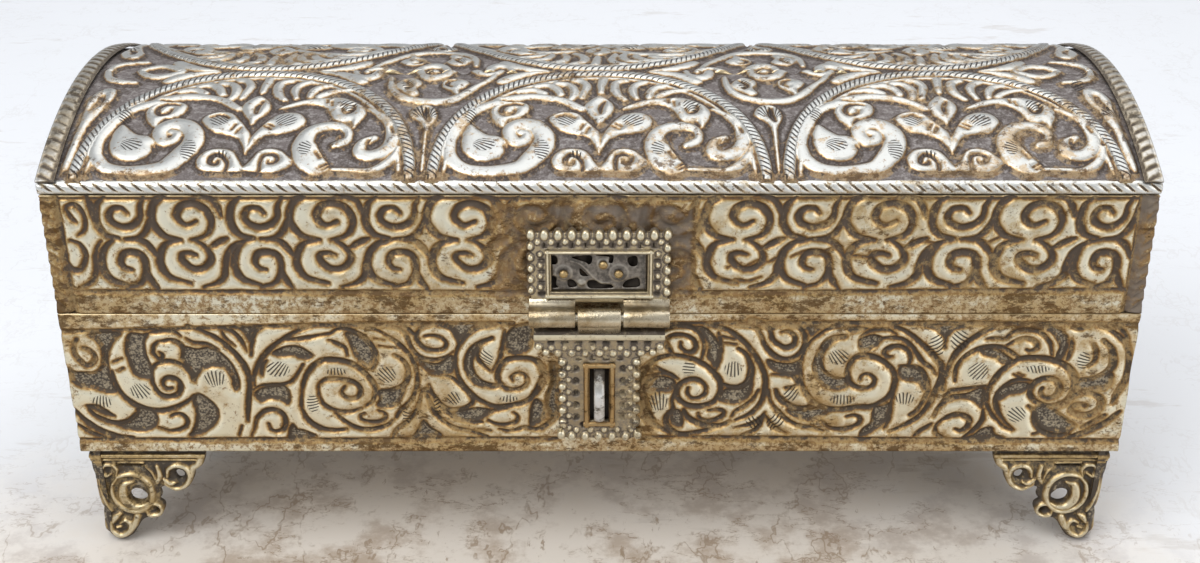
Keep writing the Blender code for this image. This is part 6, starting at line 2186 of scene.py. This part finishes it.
@dataclass
class StorageBox:
    """The whole box: its chased sheets, mouldings and fittings.

    Attributes:
        finishes: Materials by name.
    """

    finishes: dict = field(default_factory=lambda: {name: finish.make() for name, finish in FINISHES.items()})

    def base_walls(self) -> None:
        """The four chased walls of the base."""
        low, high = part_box("base_front_wall")
        floor, top = low.z / MM, high.z / MM
        wall = (-HALF_LENGTH, floor), (HALF_LENGTH, top)
        face = -low.y / MM - SHEET_PROUD
        runs = [(stroke, stroke.path()[:, 0]) for stroke in BASE_STROKES]
        scroll = [stroke for stroke, run in runs if run.min() > 46.9 and run.max() < 70.1]
        panels = [
            FlatPanel("base_front_sheet", "base_front_wall", "base", BASE_STROKES, *wall, SEEN_PITCH, BASE_HATCHES,
                      BASE_DIRT_AND_SHADE, face=face),
            FlatPanel("base_back_sheet", "base_back_wall", "base", list(BASE_STROKES) + shifted(scroll, -46.8, 0.8),
                      *wall, HIDDEN_PITCH, BASE_HATCHES, BASE_DIRT_AND_SHADE[:2], face=face, outward=(0, 1)),
        ]
        low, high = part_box("base_left_end")
        half = (high.y - low.y) / 2 / MM
        for name, side, start in (("left", -1, 82.0), ("right", 1, -62.0)):
            panels.append(
                FlatPanel(f"base_{name}_sheet", f"base_{name}_end", "base", shifted(BASE_STROKES, start),
                          (-half, floor), (half, top), END_PITCH, (), BASE_DIRT_AND_SHADE[:2], face=HALF_LENGTH - SHEET_PROUD,
                          outward=(side, 0))
            )
        for panel in panels:
            panel.make((self.finishes["base"], self.finishes["inside"]))

    def lid_walls(self) -> None:
        """The four chased walls of the lid."""
        low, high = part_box("lid_front_wall")
        wall = (-HALF_LENGTH, low.z / MM), (HALF_LENGTH, high.z / MM)
        face = -low.y / MM - SHEET_PROUD
        strokes = lid_strokes()
        panels = [
            FlatPanel("lid_front_sheet", "lid_front_wall", "lid", strokes, *wall, SEEN_PITCH, (), LID_DIRT_AND_SHADE, face=face),
            FlatPanel("lid_back_sheet", "lid_back_wall", "lid", strokes, *wall, HIDDEN_PITCH, (), LID_DIRT_AND_SHADE[:1],
                      face=face, outward=(0, 1)),
        ]
        for name, side, start in (("left", -1, 62.0), ("right", 1, -80.0)):
            low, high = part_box(f"lid_{name}_end")
            half = (high.y - low.y) / 2 / MM
            panels.append(
                ArchedPanel(f"lid_{name}_sheet", f"lid_{name}_end", "lid", shifted(strokes, start),
                            (-half, low.z / MM), (half, 99.0), END_PITCH, (), LID_DIRT_AND_SHADE[:1],
                            face=HALF_LENGTH - SHEET_PROUD, outward=(side, 0), peak=high.z / MM)
            )
        for panel in panels:
            panel.make((self.finishes["lid"], self.finishes["inside"]))

    def dome(self) -> None:
        """The two halves of the dome."""
        arc = DOME_HALF_ANGLE * DOME_RADIUS
        for name, side, pitch in (("front", -1, SEEN_PITCH), ("back", 1, HIDDEN_PITCH)):
            panel = DomePanel(f"dome_{name}_sheet", "lid_dome", "lid", dome_strokes(), (-HALF_LENGTH, 0.4),
                              (HALF_LENGTH, arc), pitch, dome_hatches(), ground=True, swell=0.78, sink=0.5,
                              thickness=1.2, round_over=0.75, proud=0.88, spread=0.35, side=side)
            panel.make((self.finishes["dome"], self.finishes["inside"]))

    def end_bands(self) -> None:
        """The bands over the ends of the dome, with slanting lobes between two plain edges."""
        arc = 2 * DOME_HALF_ANGLE * DOME_RADIUS
        for name, side in (("left", -1), ("right", 1)):
            sheet = ChasedSheet((-2.1, 0.0), (2.1, arc), 0.16, False)
            half, lean = 1.3, side * 0.62
            for start in np.arange(-2.0, arc + 2.0, 3.0):
                sheet.work([cut(0.26, -half, start - half * lean, half, start + half * lean)])
            sheet.work([cut(0.16, -side * 1.75, 0, -side * 1.75, arc)])
            inner = np.clip(1 - (sheet.u / 1.5) ** 2, 0, 1)[None, :]
            height = sheet.height(0.30, 0.22, 0.35) + 0.22 * np.sqrt(inner)

            def bend(u: np.ndarray, v: np.ndarray, height: np.ndarray, side: int = side) -> np.ndarray:
                """Rolls the band over the end of the dome."""
                angle = v / DOME_RADIUS - DOME_HALF_ANGLE
                out = DOME_RADIUS + 0.42 + np.clip(height, -0.17, 0.53)
                return np.column_stack([side * 122.9 + u, out * np.sin(angle), DOME_CENTRE + out * np.cos(angle)]) * MM

            piece = sheet_piece(f"end_band_{name}", sheet, height, 0.17, bend, (self.finishes["band"],), rows_back=True)
            stand_for(piece, "lid", f"dome_end_band_{name}")

    def fittings(self) -> None:
        """Finishes of the fittings whose shape is right as packed."""
        looks = {"hinge": "brass", "hasp": "silver", "hasp_rivet": "brass", "base_floor": "inside"}
        for name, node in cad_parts.items():
            for start, look in looks.items():
                if name.startswith(start):
                    for place in node.material_slots:
                        place.material = self.finishes[look]

    def make(self) -> None:
        """Builds the box."""
        self.base_walls()
        self.lid_walls()
        self.dome()
        for name in ("front", "back"):
            twisted_rod(f"rope_{name}", f"shoulder_rope_{name}", 0.0016, 0.0029, 0.0105, self.finishes["rope"])
        self.end_bands()
        Hasp(self.finishes).make()
        for depth_word, front, pitch in (("front", -1, 0.2), ("back", 1, 0.3)):
            for side_word, side in (("left", -1), ("right", 1)):
                ScrollFoot(f"foot_{depth_word}_{side_word}", side, front, pitch).make(self.finishes["foot"])
        self.fittings()


def main() -> None:
    """Builds the scene and keeps its sizes."""
    logging.basicConfig(level=logging.INFO, format="%(message)s")
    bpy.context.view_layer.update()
    Studio().make()
    StorageBox().make()
    bpy.context.view_layer.update()


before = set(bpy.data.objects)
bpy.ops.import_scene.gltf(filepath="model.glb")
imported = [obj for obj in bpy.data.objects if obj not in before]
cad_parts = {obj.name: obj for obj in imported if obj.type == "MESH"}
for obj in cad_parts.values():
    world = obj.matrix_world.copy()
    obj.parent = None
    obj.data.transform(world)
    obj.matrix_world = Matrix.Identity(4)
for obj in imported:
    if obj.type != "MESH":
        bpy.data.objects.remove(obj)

if __name__ == "__main__":
    main()
